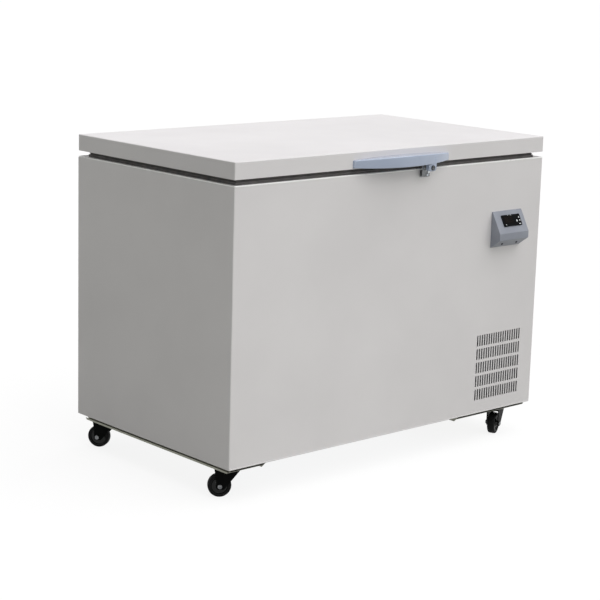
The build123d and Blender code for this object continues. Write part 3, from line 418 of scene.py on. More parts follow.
def buildEdging():
    # white trim over the upper edge of the shell, whiter than the paint as a painted highlight on the lit rim, and
    # the rolled bend along its lower edge
    low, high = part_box("cabinet_shell")
    high.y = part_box("rear_panel")[1].y
    r, proud = edging["round"], edging["proud"]
    for name, level, finish, slotName in (
        # the upper trim's finish is real white PVC plus a painted highlight: whiter than the paint beside it
        ("upperEdging", high.z + edging["topRise"] * mm, "extrudedPvcAndPaintedHighlight", "pale_plastic"),
        ("lowerBend", low.z + edging["bottomRise"] * mm, "powderCoatedSteel", "white_paint"),
    ):
        rings = []
        for turn in turns(edging["around"]):
            inset, rise = r - r * math.cos(turn), r * math.sin(turn) * mm
            corner = max(edging["corner"] - inset, 0.5) * mm
            rings.append(planRing(low, high, inset * mm, (inset - proud) * mm, corner, level + rise))
        stackPiece(name, rings + rings[:1], finish, "cabinet", (), 60.0, capped=False)


# Seal: a magnet foot with two bellows folds, carried round the lid

seal = {"foot": 22.0, "footHeight": 7.2, "corner": 4.0}
bellows = [  # half of the profile above the foot, as (inset, height)
    (4.6, 0.8), (2.6, 2.2), (2.2, 3.0), (2.8, 3.9), (4.8, 5.0), (2.8, 6.4), (2.4, 7.2), (3.4, 8.2),
]


def buildSeal():
    # profile of (inset, height) carried along a rectangle with rounded corners
    low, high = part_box("lid_gasket")
    lip = seal["footHeight"]
    half = [(0.0, 0.0), (0.0, lip - 1.4), (0.8, lip - 0.2), (3.4, lip)]
    half += [(inset, lip + rise) for inset, rise in bellows] + [(3.5, (high.z - low.z) / mm)]
    profile = half + [(seal["foot"] - inset, level) for inset, level in reversed(half)]
    rings = [planRing(low, high, inset * mm, inset * mm, max(seal["corner"] - inset, 2.0) * mm, low.z + level * mm)
             for inset, level in profile]
    stackPiece("lidSeal", rings + rings[:1], "sealVinyl", "lid", ("lid_gasket",), 30.0, capped=False)
    print("seal built")


# Handle: a bowed shell, closed on top and open below

handle = {"length": 372.0, "reach": 41.0, "end": 5.0, "deep": 47.0, "topRise": 5.5, "bottomDrop": 4.0,
          "wall": 3.0, "round": 3.2, "endRound": 3.0, "lip": 0.8, "innerLip": 0.6, "innerRound": 1.6,
          "innerDrop": 2.0, "along": 72}


def handleRing(inset, backInset, share, shift):
    # outline seen from above at one level: the front is an arc of a circle, the back is straight; height runs
    # from the bowed lower edge (share 0) to the bowed upper edge (share 1), plus a shift
    skinLow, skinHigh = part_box("lid_skin")
    wallFace = skinLow.y / mm
    top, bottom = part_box("lid_handle")[1].z / mm, skinHigh.z / mm - handle["deep"]
    half, reach, end, endRound = handle["length"] / 2, handle["reach"], handle["end"], handle["endRound"]
    bow = (half ** 2 + (reach - end) ** 2) / (2 * (reach - end))
    x = (half - inset) * np.sin(np.linspace(-math.pi / 2, math.pi / 2, handle["along"]))  # closer near the ends
    depth = reach - bow + np.sqrt(bow ** 2 - x ** 2) - inset
    near = np.clip((np.abs(x) - (half - inset - endRound)) / endRound, 0, 1)
    depth = np.maximum(depth * np.sqrt(1 - near ** 2 * 0.98), backInset + 0.3)
    outward = (x / half) ** 2
    upper = top - handle["topRise"] * outward
    lower = bottom + handle["bottomDrop"] * outward
    z = lower + (upper - lower) * share + shift
    front = np.column_stack([x, wallFace - depth, z])
    back = np.column_stack([x, np.full(len(x), wallFace - backInset), z])[::-1]
    return np.vstack([front, back]) * mm


def buildHandle():
    r, wall, lip, innerLip = (handle[k] for k in ("round", "wall", "lip", "innerLip"))
    turn = np.linspace(0, math.pi / 2, 5)
    rings = [handleRing(r * (1 - math.sin(a)), 0.0, 1, -r * (1 - math.cos(a))) for a in turn]
    rings += [handleRing(*row) for row in (  # down the outside, round the lower edge, and up the inside
        (0.0, 0.0, 0.5, 0.0), (0.0, 0.0, 0, lip), (lip, 0.0, 0, 0.0),
        (wall - innerLip, wall - innerLip, 0, 0.0), (wall, wall, 0, lip),
        (wall, wall, 1, -wall - handle["innerDrop"]), (wall + handle["innerRound"], wall, 1, -wall),
    )]
    count, around = len(rings), len(rings[0])
    faces = gridFaces(count, around)
    for start in (0, (count - 1) * around):  # the top, outside and inside, closed by a ladder from front to back
        faces += [[start + i, start + i + 1, start + around - 2 - i, start + around - 1 - i]
                  for i in range(handle["along"] - 1)]
    meshPiece("handleShell", rings, faces, "mouldedHandleAbs", "lid", ("lid_handle",), 38.0)


# Lock: lug under the handle and the barrel; plug, cam and keeper are plain copies

lock = {"lugWidth": 30.0, "lugBack": 17.0, "lugFront": 30.5, "lugTop": 8.0, "lugDrop": 10.0,
        "lugRadii": (1.0, 1.0, 9.0, 9.0), "barrel": 7.0, "barrelFront": 33.2, "barrelEdge": 0.8, "mouth": 4.8}


def buildLock():
    centre = middle("lock_barrel")
    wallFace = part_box("lid_skin")[0].y
    half, back, front = lock["lugWidth"] / 2 * mm, lock["lugBack"], lock["lugFront"]
    top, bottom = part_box("lid_handle")[1].z - lock["lugTop"] * mm, centre.z - lock["lugDrop"] * mm
    rings = []
    # inset of the outline and distance from the lid: a broken edge at the back, a rounded one at the front
    for inset, out in ((1.0, back), (0.0, back + 1.0), (0.0, front - 1.6), (0.5, front - 0.5), (1.6, front)):
        edge = inset * mm
        corners = [(centre.x - half + edge, top - edge), (centre.x + half - edge, top - edge),
                   (centre.x + half - edge, bottom + edge), (centre.x - half + edge, bottom + edge)]
        loop = easedLoop(corners, np.array(lock["lugRadii"]) * mm)
        rings.append(np.column_stack([loop[:, 0], np.full(len(loop), wallFace - out * mm), loop[:, 1]]))
    stackPiece("lockLug", rings, "mouldedHandleAbs", "lid", ("lid_handle",))
    r, face, edge, mouth = (lock[k] for k in ("barrel", "barrelFront", "barrelEdge", "mouth"))
    profile = [(mouth, back), (r, back), (r, face - edge), (r - 0.25, face - 0.25), (r - edge, face),
               (mouth + 0.5, face), (mouth, face - 0.5), (mouth, back)]
    turnedPiece("lockBarrel", profile, (centre.x, wallFace, centre.z), (0, -1, 0), "blackNylon", "lid",
                ("lock_barrel",))
    print("handle and lock built")


# Screws: domed heads with a cross recess

screw = {"radius": 4.0, "height": 2.0, "armLength": 2.4, "armWidth": 0.55, "depth": 1.1}


def screwHead(place, direction):
    # height over a disc: a dome minus a cross; the last ring is the rim at the foot
    r = np.linspace(0, 1, 14)[:, None] * screw["radius"]
    angle = turns(48)[None, :]
    x, y = r * np.cos(angle), r * np.sin(angle)
    dome = screw["height"] * np.sqrt(np.clip(1 - (r / (screw["radius"] * 1.02)) ** 2, 0, 1))
    cross = np.minimum(np.abs(x), np.abs(y)) < screw["armWidth"]
    cross &= np.maximum(np.abs(x), np.abs(y)) < screw["armLength"]
    height = dome - screw["depth"] * cross
    up = Vector(direction).normalized()
    across = up.orthogonal().normalized()
    flat = x[..., None] * np.asarray(across) + y[..., None] * np.asarray(up.cross(across))
    head = np.asarray(place) + mm * (flat + height[..., None] * np.asarray(up))
    return np.concatenate([head, np.asarray(place) + mm * flat[-1:]])


def solidBoxes(node):
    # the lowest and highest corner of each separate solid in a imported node
    edit = bmesh.new()
    edit.from_mesh(frame["nodes"][node].data)
    bmesh.ops.remove_doubles(edit, verts=edit.verts, dist=2e-6)
    seen, found = set(), []
    for first in edit.verts:
        if first in seen:
            continue
        group, wave = {first}, [first]
        while wave:
            wave = {v for u in wave for e in u.link_edges for v in (e.other_vert(u),) if v not in group}
            group |= wave
        seen |= group
        places = np.array([v.co for v in group])
        found.append((places.min(0), places.max(0)))
    edit.free()
    return found


def buildFrontScrews():
    # two on the keeper look straight out, two look down from the housing's slanted underside
    heads = {"keeperScrewHeads": [], "consoleScrewHeads": []}
    low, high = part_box("control_housing")
    under = (0, low.z - middle("control_housing").z, low.y - high.y)
    for first, last in solidBoxes("front_screws"):
        onKeeper = (first[0] + last[0]) / 2 < low.x
        direction = Vector((0, -1, 0) if onKeeper else under).normalized()
        base = (first + last) / 2 - np.asarray(direction) * screw["height"] / 2 * mm
        heads["keeperScrewHeads" if onKeeper else "consoleScrewHeads"].append(screwHead(base, direction))
    for name, finish in (("keeperScrewHeads", "zincPlate"), ("consoleScrewHeads", "blackEnamel")):
        joinedGrids(name, heads[name], finish, "cabinet", ("front_screws",))


# Control housing, module, display and keys

def modulePlane():
    # the slanted face's right, up and out, read from the way the keys are pressed
    out = -np.array(joints["press_set"]["axis"])
    right = np.array((1.0, 0.0, 0.0))
    return right, np.cross(out, right), out


keyMarks = {"up": "rise", "down": "fall", "set": "ring", "power": "bar"}
markShapes = {  # outlines in mm, right and up
    "rise": [(-2.9, -2.0), (2.9, -2.0), (0, 2.9)],
    "fall": [(-2.9, 2.0), (0, -2.9), (2.9, 2.0)],
    "bar": [(-3.6, -1.1), (3.6, -1.1), (3.6, 1.1), (-3.6, 1.1)],
    "dot": [(-0.5, -1.2), (0.5, -1.2), (1.2, -0.5), (1.2, 0.5), (0.5, 1.2), (-0.5, 1.2), (-1.2, 0.5), (-1.2, -0.5)],
}
mark = {"ring": 2.8, "hole": 0.3, "steps": 24, "thick": 0.12}  # the hole is a share of the ring
bezelDots = [(-29.3, -13.4), (-11.5, 15.6), (0.5, 15.6)]  # one under the window, two over it


def faceCentre(node):
    # the middle of a node of the module, brought out to the node's own front
    out = modulePlane()[2]
    reach = max(np.dot(vertex.co, out) for vertex in frame["nodes"][node].data.vertices)
    centre = np.array(middle(node))
    return centre + out * (reach - np.dot(centre, out))


def flatMark(name, kind, centre, body):
    # thin printed shape on the slanted face
    right, up, out = modulePlane()
    if kind == "ring":
        n = mark["steps"]
        angle = turns(n)
        outer = np.column_stack([np.cos(angle), np.sin(angle)]) * mark["ring"]
        flat = np.concatenate([outer, outer * mark["hole"]])
        pairs = [(i, (i + 1) % n) for i in range(n)]
        faces = [[a, b, n + b, n + a] for a, b in pairs]
        edges = pairs + [(n + b, n + a) for a, b in pairs]
    else:
        flat = np.array(markShapes[kind], float)
        faces = [list(range(len(flat)))]
        edges = [(i, (i + 1) % len(flat)) for i in range(len(flat))]
    count = len(flat)
    base = centre + mm * (flat[:, :1] * right + flat[:, 1:] * up)
    points = np.concatenate([base, base + out * mark["thick"] * mm])
    faces = [[i + count for i in face] for face in faces] + [face[::-1] for face in faces]
    meshPiece(name, points, faces + [[a, b, b + count, a + count] for a, b in edges], "printedWhite", body)


def buildControls():
    softenedCopy("control_housing", "mouldedConsoleAbs", 1.1, "controlHousing", segments=3)
    for key, kind in keyMarks.items():
        node = "key_" + key
        softenedCopy(node, "keyRubber", 0.25, node + "Cap")
        flatMark(node + "Mark", kind, faceCentre(node), node)
    right, up, out = modulePlane()
    for number, (x, y) in enumerate(bezelDots, 1):
        flatMark("bezelDot" + str(number), "dot", faceCentre("control_module") + (right * x + up * y) * mm, "cabinet")
    buildDisplayDigits()
    buildFrontScrews()
    print("controls built")


digit = {"width": 7.0, "height": 13.0, "stroke": 1.3, "gap": 3.0, "slant": 0.12, "thick": 0.06}


def buildDisplayDigits():
    # unlit segments, hardly lighter than the window: x, y, width and height of each bar, leaning by slant
    right, up, out = modulePlane()
    w, h, s = digit["width"], digit["height"], digit["stroke"]
    across, down = w - 0.5, h / 2 - 0.5
    bars = np.array([(0, h / 2, across, s), (0, 0, across, s), (0, -h / 2, across, s),
                     (-w / 2, h / 4, s, down), (w / 2, h / 4, s, down),
                     (-w / 2, -h / 4, s, down), (w / 2, -h / 4, s, down)])
    corners = np.array([(-0.5, -0.5), (0.5, -0.5), (0.5, 0.5), (-0.5, 0.5)])
    flat = bars[None, :, None, :2] + corners * bars[None, :, None, 2:]
    flat = flat + np.array([(place * (w + digit["gap"]), 0.0) for place in (-1, 0, 1)])[:, None, None, :]
    flat[..., 0] += flat[..., 1] * digit["slant"]
    flat = flat.reshape(-1, 4, 2)
    base = faceCentre("control_display") + mm * (flat[..., :1] * right + flat[..., 1:] * up)
    solids = np.concatenate([base, base + out * digit["thick"] * mm], axis=1)
    faces = boxFaces[None] + 8 * np.arange(len(solids))[:, None, None]
    meshPiece("unlitDigits", solids, faces.reshape(-1, 4).tolist(), "unlitSegments", "cabinet", merge=False)


# Casters: pressed fork, wheel with a dished hub, bolt with a domed cap

wheel = {"radius": 32.5, "half": 11.5, "hub": 24.6, "bossHalf": 16.5, "bore": 4.15}
axle = {"bolt": 4.0, "boltEnd": 19.3, "cap": 6.4, "capFoot": 1.6, "capDome": 3.2, "nut": 6.5}
nutRings = [(1.0, 0.0), (1.0, 3.8), (0.9, 4.6), (0.55, 4.6)]  # share of the nut's size, distance from the fork


def mirrored(side):  # a half profile that starts on the middle line, with its other half
    return side + [(a, -b) for a, b in reversed(side[:-1])]


def buildCaster(corner):
    roll = joints["roll_" + corner]
    axis, centre = Vector(roll["axis"]).normalized(), Vector(roll["pos_m"])
    rolling, fork = "rolling_" + corner, "caster_" + corner
    stands = ("wheel_" + corner,)
    r, half, hub, bore, boss = (wheel[k] for k in ("radius", "half", "hub", "bore", "bossHalf"))
    tyre = [(hub - 0.6, 0.0), (hub - 0.6, half - 1.6), (hub + 0.4, half - 0.6), (hub + 2.2, half - 0.05),
            (r - 3.4, half - 0.3), (r - 1.6, half - 1.2), (r - 0.6, half - 2.8), (r - 0.15, half - 5.0), (r, 0.0)]
    turnedPiece("tyre_" + corner, mirrored(tyre), centre, axis, "treadRubber", rolling, stands,
                64, 30.0)
    # the web sweeps out of the boss in a quarter of an ellipse
    web = [(20.0 - 11.6 * math.cos(a), boss - 1.0 - (boss - half + 3.6) * math.sin(a))
           for a in np.linspace(0, math.pi / 2, 8)]
    side = [(bore, 0.0), (bore, boss - 0.3), (bore + 0.3, boss), (7.6, boss), (8.2, boss - 0.4)] + web + [
        (22.0, half - 4.3), (23.2, half - 2.6), (23.7, half - 0.8), (hub, half - 0.9), (hub, 0.0)]
    turnedPiece("hub_" + corner, mirrored(side), centre, axis, "hubNylon", rolling, stands, 64, 50.0)
    bolt, end, cap = axle["bolt"], axle["boltEnd"], axle["cap"]
    dome = [(cap * math.cos(a), end + axle["capFoot"] + axle["capDome"] * math.sin(a))
            for a in np.linspace(0, math.pi / 2, 9)]
    profile = [(0.0, -end - 1.0), (bolt, -end - 0.9), (bolt, end), (cap, end)] + dome
    turnedPiece("bolt_" + corner, profile, centre, axis, "blackZinc", fork, ("axle_" + corner,), 40, 50.0)
    up = Vector((0, 0, 1))
    angle = turns(6)[:, None]
    hexagon = axle["nut"] * mm * (np.cos(angle) * np.asarray(up) + np.sin(angle) * np.asarray(axis.cross(up)))
    rings = [np.asarray(centre - axis * (end + out) * mm) + hexagon * share for share, out in nutRings]
    stackPiece("nut_" + corner, rings, "blackZinc", fork, ("axle_" + corner,), 25.0)
    softenedCopy("fork_" + corner, "blackEnamel", 0.7, "pressedFork_" + corner)
    buildApron(corner, axis, centre)


apron = {"top": (-27.0, 80.4), "toe": (18.0, 23.5), "half": 16.6, "thick": 2.2, "long": 34.0, "arch": 6.0,
         "lift": 0.3, "steps": 13}


def buildApron(corner, axis, centre):
    # plate between the legs along their slanted edge; its lower edge is an arch: long - arch * cos(across)
    pin = Vector(joints["swivel_" + corner]["pos_m"])
    ahead = Vector((centre.x - pin.x, centre.y - pin.y, 0)).normalized()
    slope = (Vector(apron["toe"]) - Vector(apron["top"])).normalized()
    down = ahead * slope.x + Vector((0, 0, slope.y))
    inward = ahead * -slope.y + Vector((0, 0, slope.x))
    across = np.linspace(-apron["half"], apron["half"], apron["steps"])
    arch = apron["long"] - apron["arch"] * np.cos(across / apron["half"] * math.pi / 2)
    outline = np.vstack([np.column_stack([across, arch]), [(apron["half"], 0.0), (-apron["half"], 0.0)]])
    start = Vector((pin.x, pin.y, 0)) + (ahead * apron["top"][0] + Vector((0, 0, apron["top"][1]))) * mm
    plate = np.asarray(start) + mm * (outline[:, :1] * np.asarray(axis) + outline[:, 1:] * np.asarray(down))
    rings = [plate + np.asarray(inward) * level * mm for level in (apron["lift"], apron["lift"] + apron["thick"])]
    stackPiece("forkApron_" + corner, rings, "blackEnamel", "caster_" + corner, (), 30.0)


def buildCasters():
    for corner in ("front_left", "front_right", "rear_left", "rear_right"):
        buildCaster(corner)
    print("casters built")


# Hinges

def buildHinges():
    for side in ("left", "right"):
        for part in ("Base", "Leaf"):
            node = "hinge_" + part.lower() + "_" + side
            softenedCopy(node, "powderCoatedSteel", 0.6, "hinge" + part + "_" + side)
    print("hinges built")


# Machine compartment

coil = {"finPitch": 2.8, "finThick": 0.3, "finInset": 1.0, "finBase": 23.0, "endInset": 13.0, "plate": 2.0,
        "tube": 4.0, "tubeInset": 14.0, "bendRoom": 5.0, "bendShare": 0.9, "rows": 10, "columns": 2}
boxFaces = np.array([(0, 3, 2, 1), (4, 5, 6, 7), (0, 1, 5, 4), (1, 2, 6, 5), (2, 3, 7, 6), (3, 0, 4, 7)])


def platesPiece(name, boxes, finish):
    points = []
    for (x0, y0, z0), (x1, y1, z1) in boxes:
        for z in (z0, z1):
            points += [(x0, y0, z), (x1, y0, z), (x1, y1, z), (x0, y1, z)]
    faces = np.concatenate([boxFaces + 8 * i for i in range(len(boxes))]).tolist()
    meshPiece(name, points, faces, finish, "cabinet", ("condenser",), 30.0, merge=False)


def buildCondenser():
    # thin fins between two end plates, tubes through them, and a return bend at each pair of tube ends
    low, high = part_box("condenser")
    inset, plate, gap, edge = (coil[k] * mm for k in ("endInset", "plate", "finInset", "tubeInset"))
    left, right, finLow = low.x + inset, high.x - inset, low.z + coil["finBase"] * mm
    count = int((right - left) / (coil["finPitch"] * mm))
    thick = coil["finThick"] * mm / 2
    fins = [((x - thick, low.y + gap, finLow), (x + thick, high.y - gap, high.z - gap))
            for x in np.linspace(left + plate, right - plate, count)]
    platesPiece("condenserFins", fins, "finAluminium")
    ends = [((x, low.y, low.z), (x + plate, high.y, high.z)) for x in (left - plate, right)]
    ends.append(((left, low.y + edge, finLow - gap), (right, high.y - edge, finLow)))
    platesPiece("condenserEndPlates", ends, "galvanisedSheet")
    levels = np.linspace(finLow + edge, high.z - edge, coil["rows"])
    front, back = low.y + edge, high.y - edge
    paths = [np.array([(left - plate, y, z), (right + plate, y, z)])
             for z in levels for y in np.linspace(front, back, coil["columns"])]
    turn = np.linspace(-math.pi / 2, math.pi / 2, 9)
    reach = (inset - coil["bendRoom"] * mm) * np.cos(turn) * coil["bendShare"]
    y = (front + back) / 2 + (back - front) / 2 * np.sin(turn)
    paths += [np.column_stack([x + sign * reach, y, np.full(len(y), z)])
              for x, sign in ((left - plate, -1), (right + plate, 1)) for z in levels]
    tubes = [cappedTube(path, coil["tube"] * mm, (0, 0, 1), 12) for path in paths]
    joinedGrids("condenserTubes", tubes, "drawnCopper", "cabinet", ("condenser",))


# each pair holds for the root and for the tip of a blade: radius and chord in mm, pitch in degrees
fan = {"blades": 5, "radius": (22.0, 95.0), "chord": (40.0, 54.0), "pitch": (36.0, 22.0), "sweep": 0.12,
       "camber": 2.2, "deepest": 11.5, "thick": 1.6}
fanHub = [(0.0, -10.5), (14.0, -10.2), (22.0, -9.0), (25.4, -7.0), (26.0, -5.0), (26.0, 8.4), (25.4, 9.0),
          (3.2, 9.0), (3.2, -1.0), (0.0, -1.0)]


def buildFan():
    # hub with a domed nose and blades: pitch falls from hub to tip, camber is a parabola across the blade
    centre = Vector(joints["fan_spin"]["pos_m"])
    turnedPiece("fanHub", fanHub, centre, (0, 1, 0), "blackNylon", "fan", ("fan_blade",), 48, 40.0)
    share = np.linspace(0, 1, 14)[:, None]
    across = np.linspace(-1, 1, 12)[None, :]
    r, chord, pitch = (fan[k][0] + (fan[k][1] - fan[k][0]) * share for k in ("radius", "chord", "pitch"))
    pitch = np.radians(pitch)
    width, rise = chord / 2 * across, fan["camber"] * (1 - across ** 2)
    along = np.clip(width * np.sin(pitch) + rise * np.cos(pitch), -fan["deepest"], fan["deepest"])
    around = (width * np.cos(pitch) - rise * np.sin(pitch)) / r + fan["sweep"] * share
    grids = []
    for number in range(fan["blades"]):
        angle = around + number * 2 * math.pi / fan["blades"]
        grids.append(np.stack([centre.x + mm * r * np.cos(angle), centre.y + mm * along,
                               centre.z + mm * r * np.sin(angle)], axis=-1))
    blades = joinedGrids("fanBlades", grids, "blackNylon", "fan", ("fan_blade",), closed=False)
    thick = blades.modifiers.new("bladeThickness", "SOLIDIFY")
    thick.thickness = fan["thick"] * mm
    thick.offset = 0.0


# (radius, along) in mm: the motor from its front end, the drier inwards from its end and then round its middle
motorGap = 17.0  # from the fan's centre to the motor's face
motorProfile = [(0, -motorGap), (3.0, -motorGap), (3.0, 0.0), (16.0, 0.0), (17.0, 2.0), (30.0, 3.0), (36.0, 5.0),
                (38.5, 8.0), (38.8, 14.0), (40.0, 15.0), (40.0, 28.0), (38.8, 29.0), (38.5, 38.0), (34.0, 43.0),
                (26.0, 45.4), (0.0, 46.0)]
drierEnd = [(0.0, 0.0), (4.6, 0.0), (5.0, 5.0), (6.5, 8.5), (11.0, 13.0), (13.4, 17.0), (14.0, 21.0)]
drierWaist = [(14.0, 8.0), (13.6, 7.0), (13.6, 5.0), (14.0, 4.0)]


def buildMachine():
    buildCondenser()
    buildFan()
    centre = middle("fan_motor")
    centre.y = joints["fan_spin"]["pos_m"][1] + motorGap * mm
    turnedPiece("fanMotor", motorProfile, centre, (0, 1, 0), "blackEnamel", "cabinet", ("fan_motor",),
                56, 28.0)
    buildCompressor()
    low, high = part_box("filter_drier")
    side = [(radius, (high.z - low.z) / 2 / mm - drop) for radius, drop in drierEnd] + drierWaist
    turnedPiece("filterDrier", side + [(a, -b) for a, b in reversed(side)], middle("filter_drier"), (0, 0, 1),
                "drawnCopper", "cabinet", ("filter_drier",), 40, 40.0)
    buildPipes()
    buildGland()
    print("machine compartment built")


can = {"radius": 95.0, "dome": 46.0, "seam": 0.42, "foot": 4.0, "footHalf": (75.0, 105.0), "footRound": 16.0}
seamProfile = [(0.0, -6), (0.0, -5), (-1.2, -4), (-1.2, -1), (0.0, 0), (0.0, 1)]  # added to radius and seam height


def buildCompressor():
    # welded can: elliptic domes above and below, a rolled seam at two fifths of the height
    low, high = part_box("compressor")
    centre = middle("compressor")
    r, dome, foot = can["radius"], can["dome"], can["foot"]
    tall = (high.z - low.z) / mm - foot
    turn = np.linspace(0, math.pi / 2, 12)
    profile = [(r * math.sin(a), dome - dome * math.cos(a)) for a in turn]
    profile += [(r + out, tall * can["seam"] + rise) for out, rise in seamProfile]
    profile += [(r * math.cos(a), tall - dome + dome * math.sin(a)) for a in turn]
    turnedPiece("compressorCan", profile, (centre.x, centre.y, low.z + foot * mm), (0, 0, 1), "canEnamel", "cabinet",
                ("compressor",), 80, 28.0)
    half = Vector((*can["footHalf"], 0)) * mm
    rings = [planRing(centre - half, centre + half, 0, 0, can["footRound"] * mm, low.z + z * mm) for z in (0.0, foot)]
    stackPiece("compressorFoot", rings, "canEnamel", "cabinet", ("compressor",))


# radii, bends, and how far right of the condenser's middle the discharge pipe enters it
pipe = {"discharge": 4.0, "liquid": 3.0, "suction": 5.0, "wideBend": 16.0, "tightBend": 10.0, "inlet": 101.0}


def buildPipes():
    # round tubes with bent corners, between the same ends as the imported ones
    grids = []
    drier, inlet = middle("filter_drier"), middle("condenser").x + pipe["inlet"] * mm
    for low, high in sorted(solidBoxes("refrigerant_pipes"), key=lambda box: float(box[0][0] + box[1][0])):
        size = (high - low) / mm
        x, y, z = (low + high) / 2
        if size[1] > 100:  # discharge: out from the can, forward along the side, in to the condenser
            r, bend, flat = pipe["discharge"] * mm, pipe["wideBend"] * mm, (0, 0, 1)
            right, front, back = high[0] - r, low[1] + r, high[1] - r
            points = [(low[0], back, z), (right, back, z), (right, front, z), (inlet, front, z)]
        elif size[1] < 7 and size[2] > 7:  # liquid line and capillary, upright beside the partition
            r, bend, flat = pipe["liquid"] * mm, pipe["tightBend"] * mm, (0, 1, 0)
            if z > drier.z:
                points = [(drier.x, y, low[2]), (drier.x, y, high[2] - r), (low[0], y, high[2] - r)]
            else:
                points = [(high[0], y, low[2] + r), (drier.x, y, low[2] + r), (drier.x, y, high[2])]
        else:  # suction: straight from the can to the partition
            r, bend, flat = pipe["suction"] * mm, 0, (0, 0, 1)
            points = np.array([(low[0], y, z), (high[0], y, z)])
        grids.append(cappedTube(easedPath(points, bend) if bend else points, r, flat, 18))
    joinedGrids("refrigerantPipes", grids, "drawnCopper", "cabinet", ("refrigerant_pipes",))


gland = {"bore": 4.5, "nose": 9.8, "collar": 13.6, "inside": 16.0, "outside": 6.0}


def buildGland():
    # cord gland: a collar outside, a threaded nose inside, and an open bore
    centre = middle("cord_gland")
    centre.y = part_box("rear_panel")[1].y
    bore, nose, collar, inside, outside = (gland[k] for k in ("bore", "nose", "collar", "inside", "outside"))
    profile = [(bore, -inside), (nose - 0.6, -inside), (nose, 0.8 - inside), (nose, 0.0), (collar, 0.0),
               (collar, outside - 1.6), (12.4, outside - 0.4), (8.0, outside), (bore + 0.6, outside),
               (bore, outside - 0.6), (bore, -inside)]
    turnedPiece("cordGland", profile, centre, (0, 1, 0), "blackNylon", "cabinet", ("cord_gland",),
                24, 30.0)


buildCopies()
buildEdging()
buildSeal()
buildHandle()
buildLock()
buildControls()
buildCasters()
buildHinges()
buildMachine()


# Studio: pale floor, soft light and the photograph's view

floor = {"half": 40.0, "lit": "#A0A29B", "seen": "#6A6A6A", "glow": 0.87, "roughness": 0.9}


def buildFloor():
    size = floor["half"]
    mesh = bpy.data.meshes.new("studioFloor")
    mesh.from_pydata([(-size, -size, 0), (size, -size, 0), (size, size, 0), (-size, size, 0)], [], [(0, 1, 2, 3)])
    plane = bpy.data.objects.new("studioFloor", mesh)
    bpy.context.scene.collection.objects.link(plane)
    finish = startFinish("paleFloor", floor["lit"], floor["roughness"], sockets={"Specular IOR Level": 0.0})
    tree, shader = finish["tree"], finish["shader"]
    seen = seenDirectly(tree)
    tone = addNode(
        tree, "ShaderNodeMix", {6: hexColour(floor["lit"]), 7: hexColour(floor["seen"])}, {0: seen}, data_type="RGBA",
    )
    tree.links.new(tone.outputs[2], shader.inputs["Base Color"])
    glow = addNode(tree, "ShaderNodeMath", {1: floor["glow"]}, {0: seen}, operation="MULTIPLY")
    shader.inputs["Emission Color"].default_value = (1, 1, 1, 1)
    tree.links.new(glow.outputs[0], shader.inputs["Emission Strength"])
    mesh.materials.append(finish["material"])


def seenDirectly(tree):
    # 1 for what the camera sees, also in metal and through glass
    rays = addNode(tree, "ShaderNodeLightPath").outputs
    seen = rays["Is Camera Ray"]
    for other in ("Is Glossy Ray", "Is Transmission Ray"):
        seen = addNode(tree, "ShaderNodeMath", links={0: seen, 1: rays[other]}, operation="MAXIMUM").outputs[0]
    return seen


sky = {"even": 0.22, "lean": 0.56, "towards": (0.53, -0.33, 0.78)}
overhead = {"from": (0.2, -0.36, 0.91), "strength": 1.72, "softDegrees": 70.0}
softboxes = {
    "frontSoftbox": {"place": (-0.75, -2.4, 1.2), "aim": (0.0, -0.3, 0.5), "wide": 1.1, "tall": 1.1, "watts": 3.4},
    "leftStrip": {"place": (-2.3, -0.75, 0.55), "aim": (-0.6, -0.25, 0.2), "wide": 0.1, "tall": 0.35, "watts": 1.3},
}


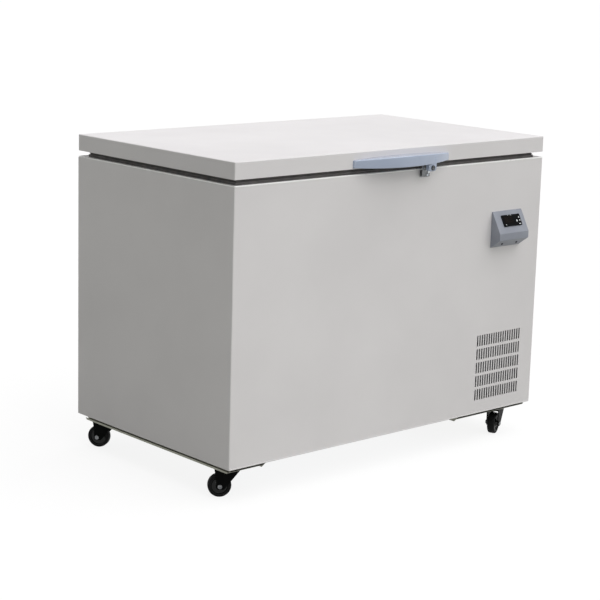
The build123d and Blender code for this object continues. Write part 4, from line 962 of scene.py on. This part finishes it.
def buildWorld():
    # light from the sky grows towards one side: even + lean * (direction . towards);
    # mirrors and the camera see white
    world = bpy.data.worlds.new("studioWorld")
    bpy.context.scene.world = world
    world.use_nodes = True
    tree = world.node_tree
    background = tree.nodes["Background"]
    ray = addNode(tree, "ShaderNodeTexCoord").outputs["Generated"]
    share = addNode(tree, "ShaderNodeVectorMath", {1: sky["towards"]}, {0: ray}, operation="DOT_PRODUCT")
    level = addNode(
        tree, "ShaderNodeMath", {1: sky["lean"], 2: sky["even"]}, {0: share.outputs["Value"]},
        operation="MULTIPLY_ADD", use_clamp=True,
    )
    strength = addNode(
        tree, "ShaderNodeMapRange", {"To Max": 1.0}, {"Value": seenDirectly(tree), "To Min": level.outputs[0]},
    )
    tree.links.new(strength.outputs[0], background.inputs["Strength"])
    background.inputs["Color"].default_value = (1, 1, 1, 1)


def addLamp(name, kind, energy, direction, place=(0, 0, 3), **settings):
    light = bpy.data.lights.new(name, kind)
    light.energy = energy
    for setting, value in settings.items():
        setattr(light, setting, value)
    lamp = bpy.data.objects.new(name, light)
    lamp.location = place
    lamp.rotation_mode = "QUATERNION"
    lamp.rotation_quaternion = Vector(direction).to_track_quat("Z", "Y")
    bpy.context.scene.collection.objects.link(lamp)


view = {"azimuth": -41.913, "elevation": 11.9695, "roll": 1.6217, "place": (-3.3981, -3.7189, 1.4961),
        "lens": 103.80}


def buildCamera():
    azimuth, elevation, roll = (math.radians(view[k]) for k in ("azimuth", "elevation", "roll"))
    back = Vector((math.sin(azimuth) * math.cos(elevation), -math.cos(azimuth) * math.cos(elevation),
                   math.sin(elevation)))
    right = Vector((0, 0, 1)).cross(back).normalized()
    up = back.cross(right)
    turned = (right * math.cos(roll) + up * math.sin(roll), up * math.cos(roll) - right * math.sin(roll), back)
    data = bpy.data.cameras.new("photoCamera")
    data.lens = view["lens"]
    data.sensor_width = 36.0
    data.clip_start, data.clip_end = 0.1, 200.0
    camera = bpy.data.objects.new("photoCamera", data)
    camera.matrix_world = Matrix.Translation(view["place"]) @ Matrix(turned).transposed().to_4x4()
    bpy.context.scene.collection.objects.link(camera)
    bpy.context.scene.camera = camera


buildFloor()
buildWorld()
addLamp("overheadDiffuser", "SUN", overhead["strength"], overhead["from"],
        angle=math.radians(overhead["softDegrees"]))
for name, box in softboxes.items():
    addLamp(name, "AREA", box["watts"], Vector(box["place"]) - Vector(box["aim"]), box["place"],
            shape="RECTANGLE", size=box["wide"], size_y=box["tall"])
buildCamera()
bpy.context.scene.view_settings.view_transform = "Standard"
print("studio built")
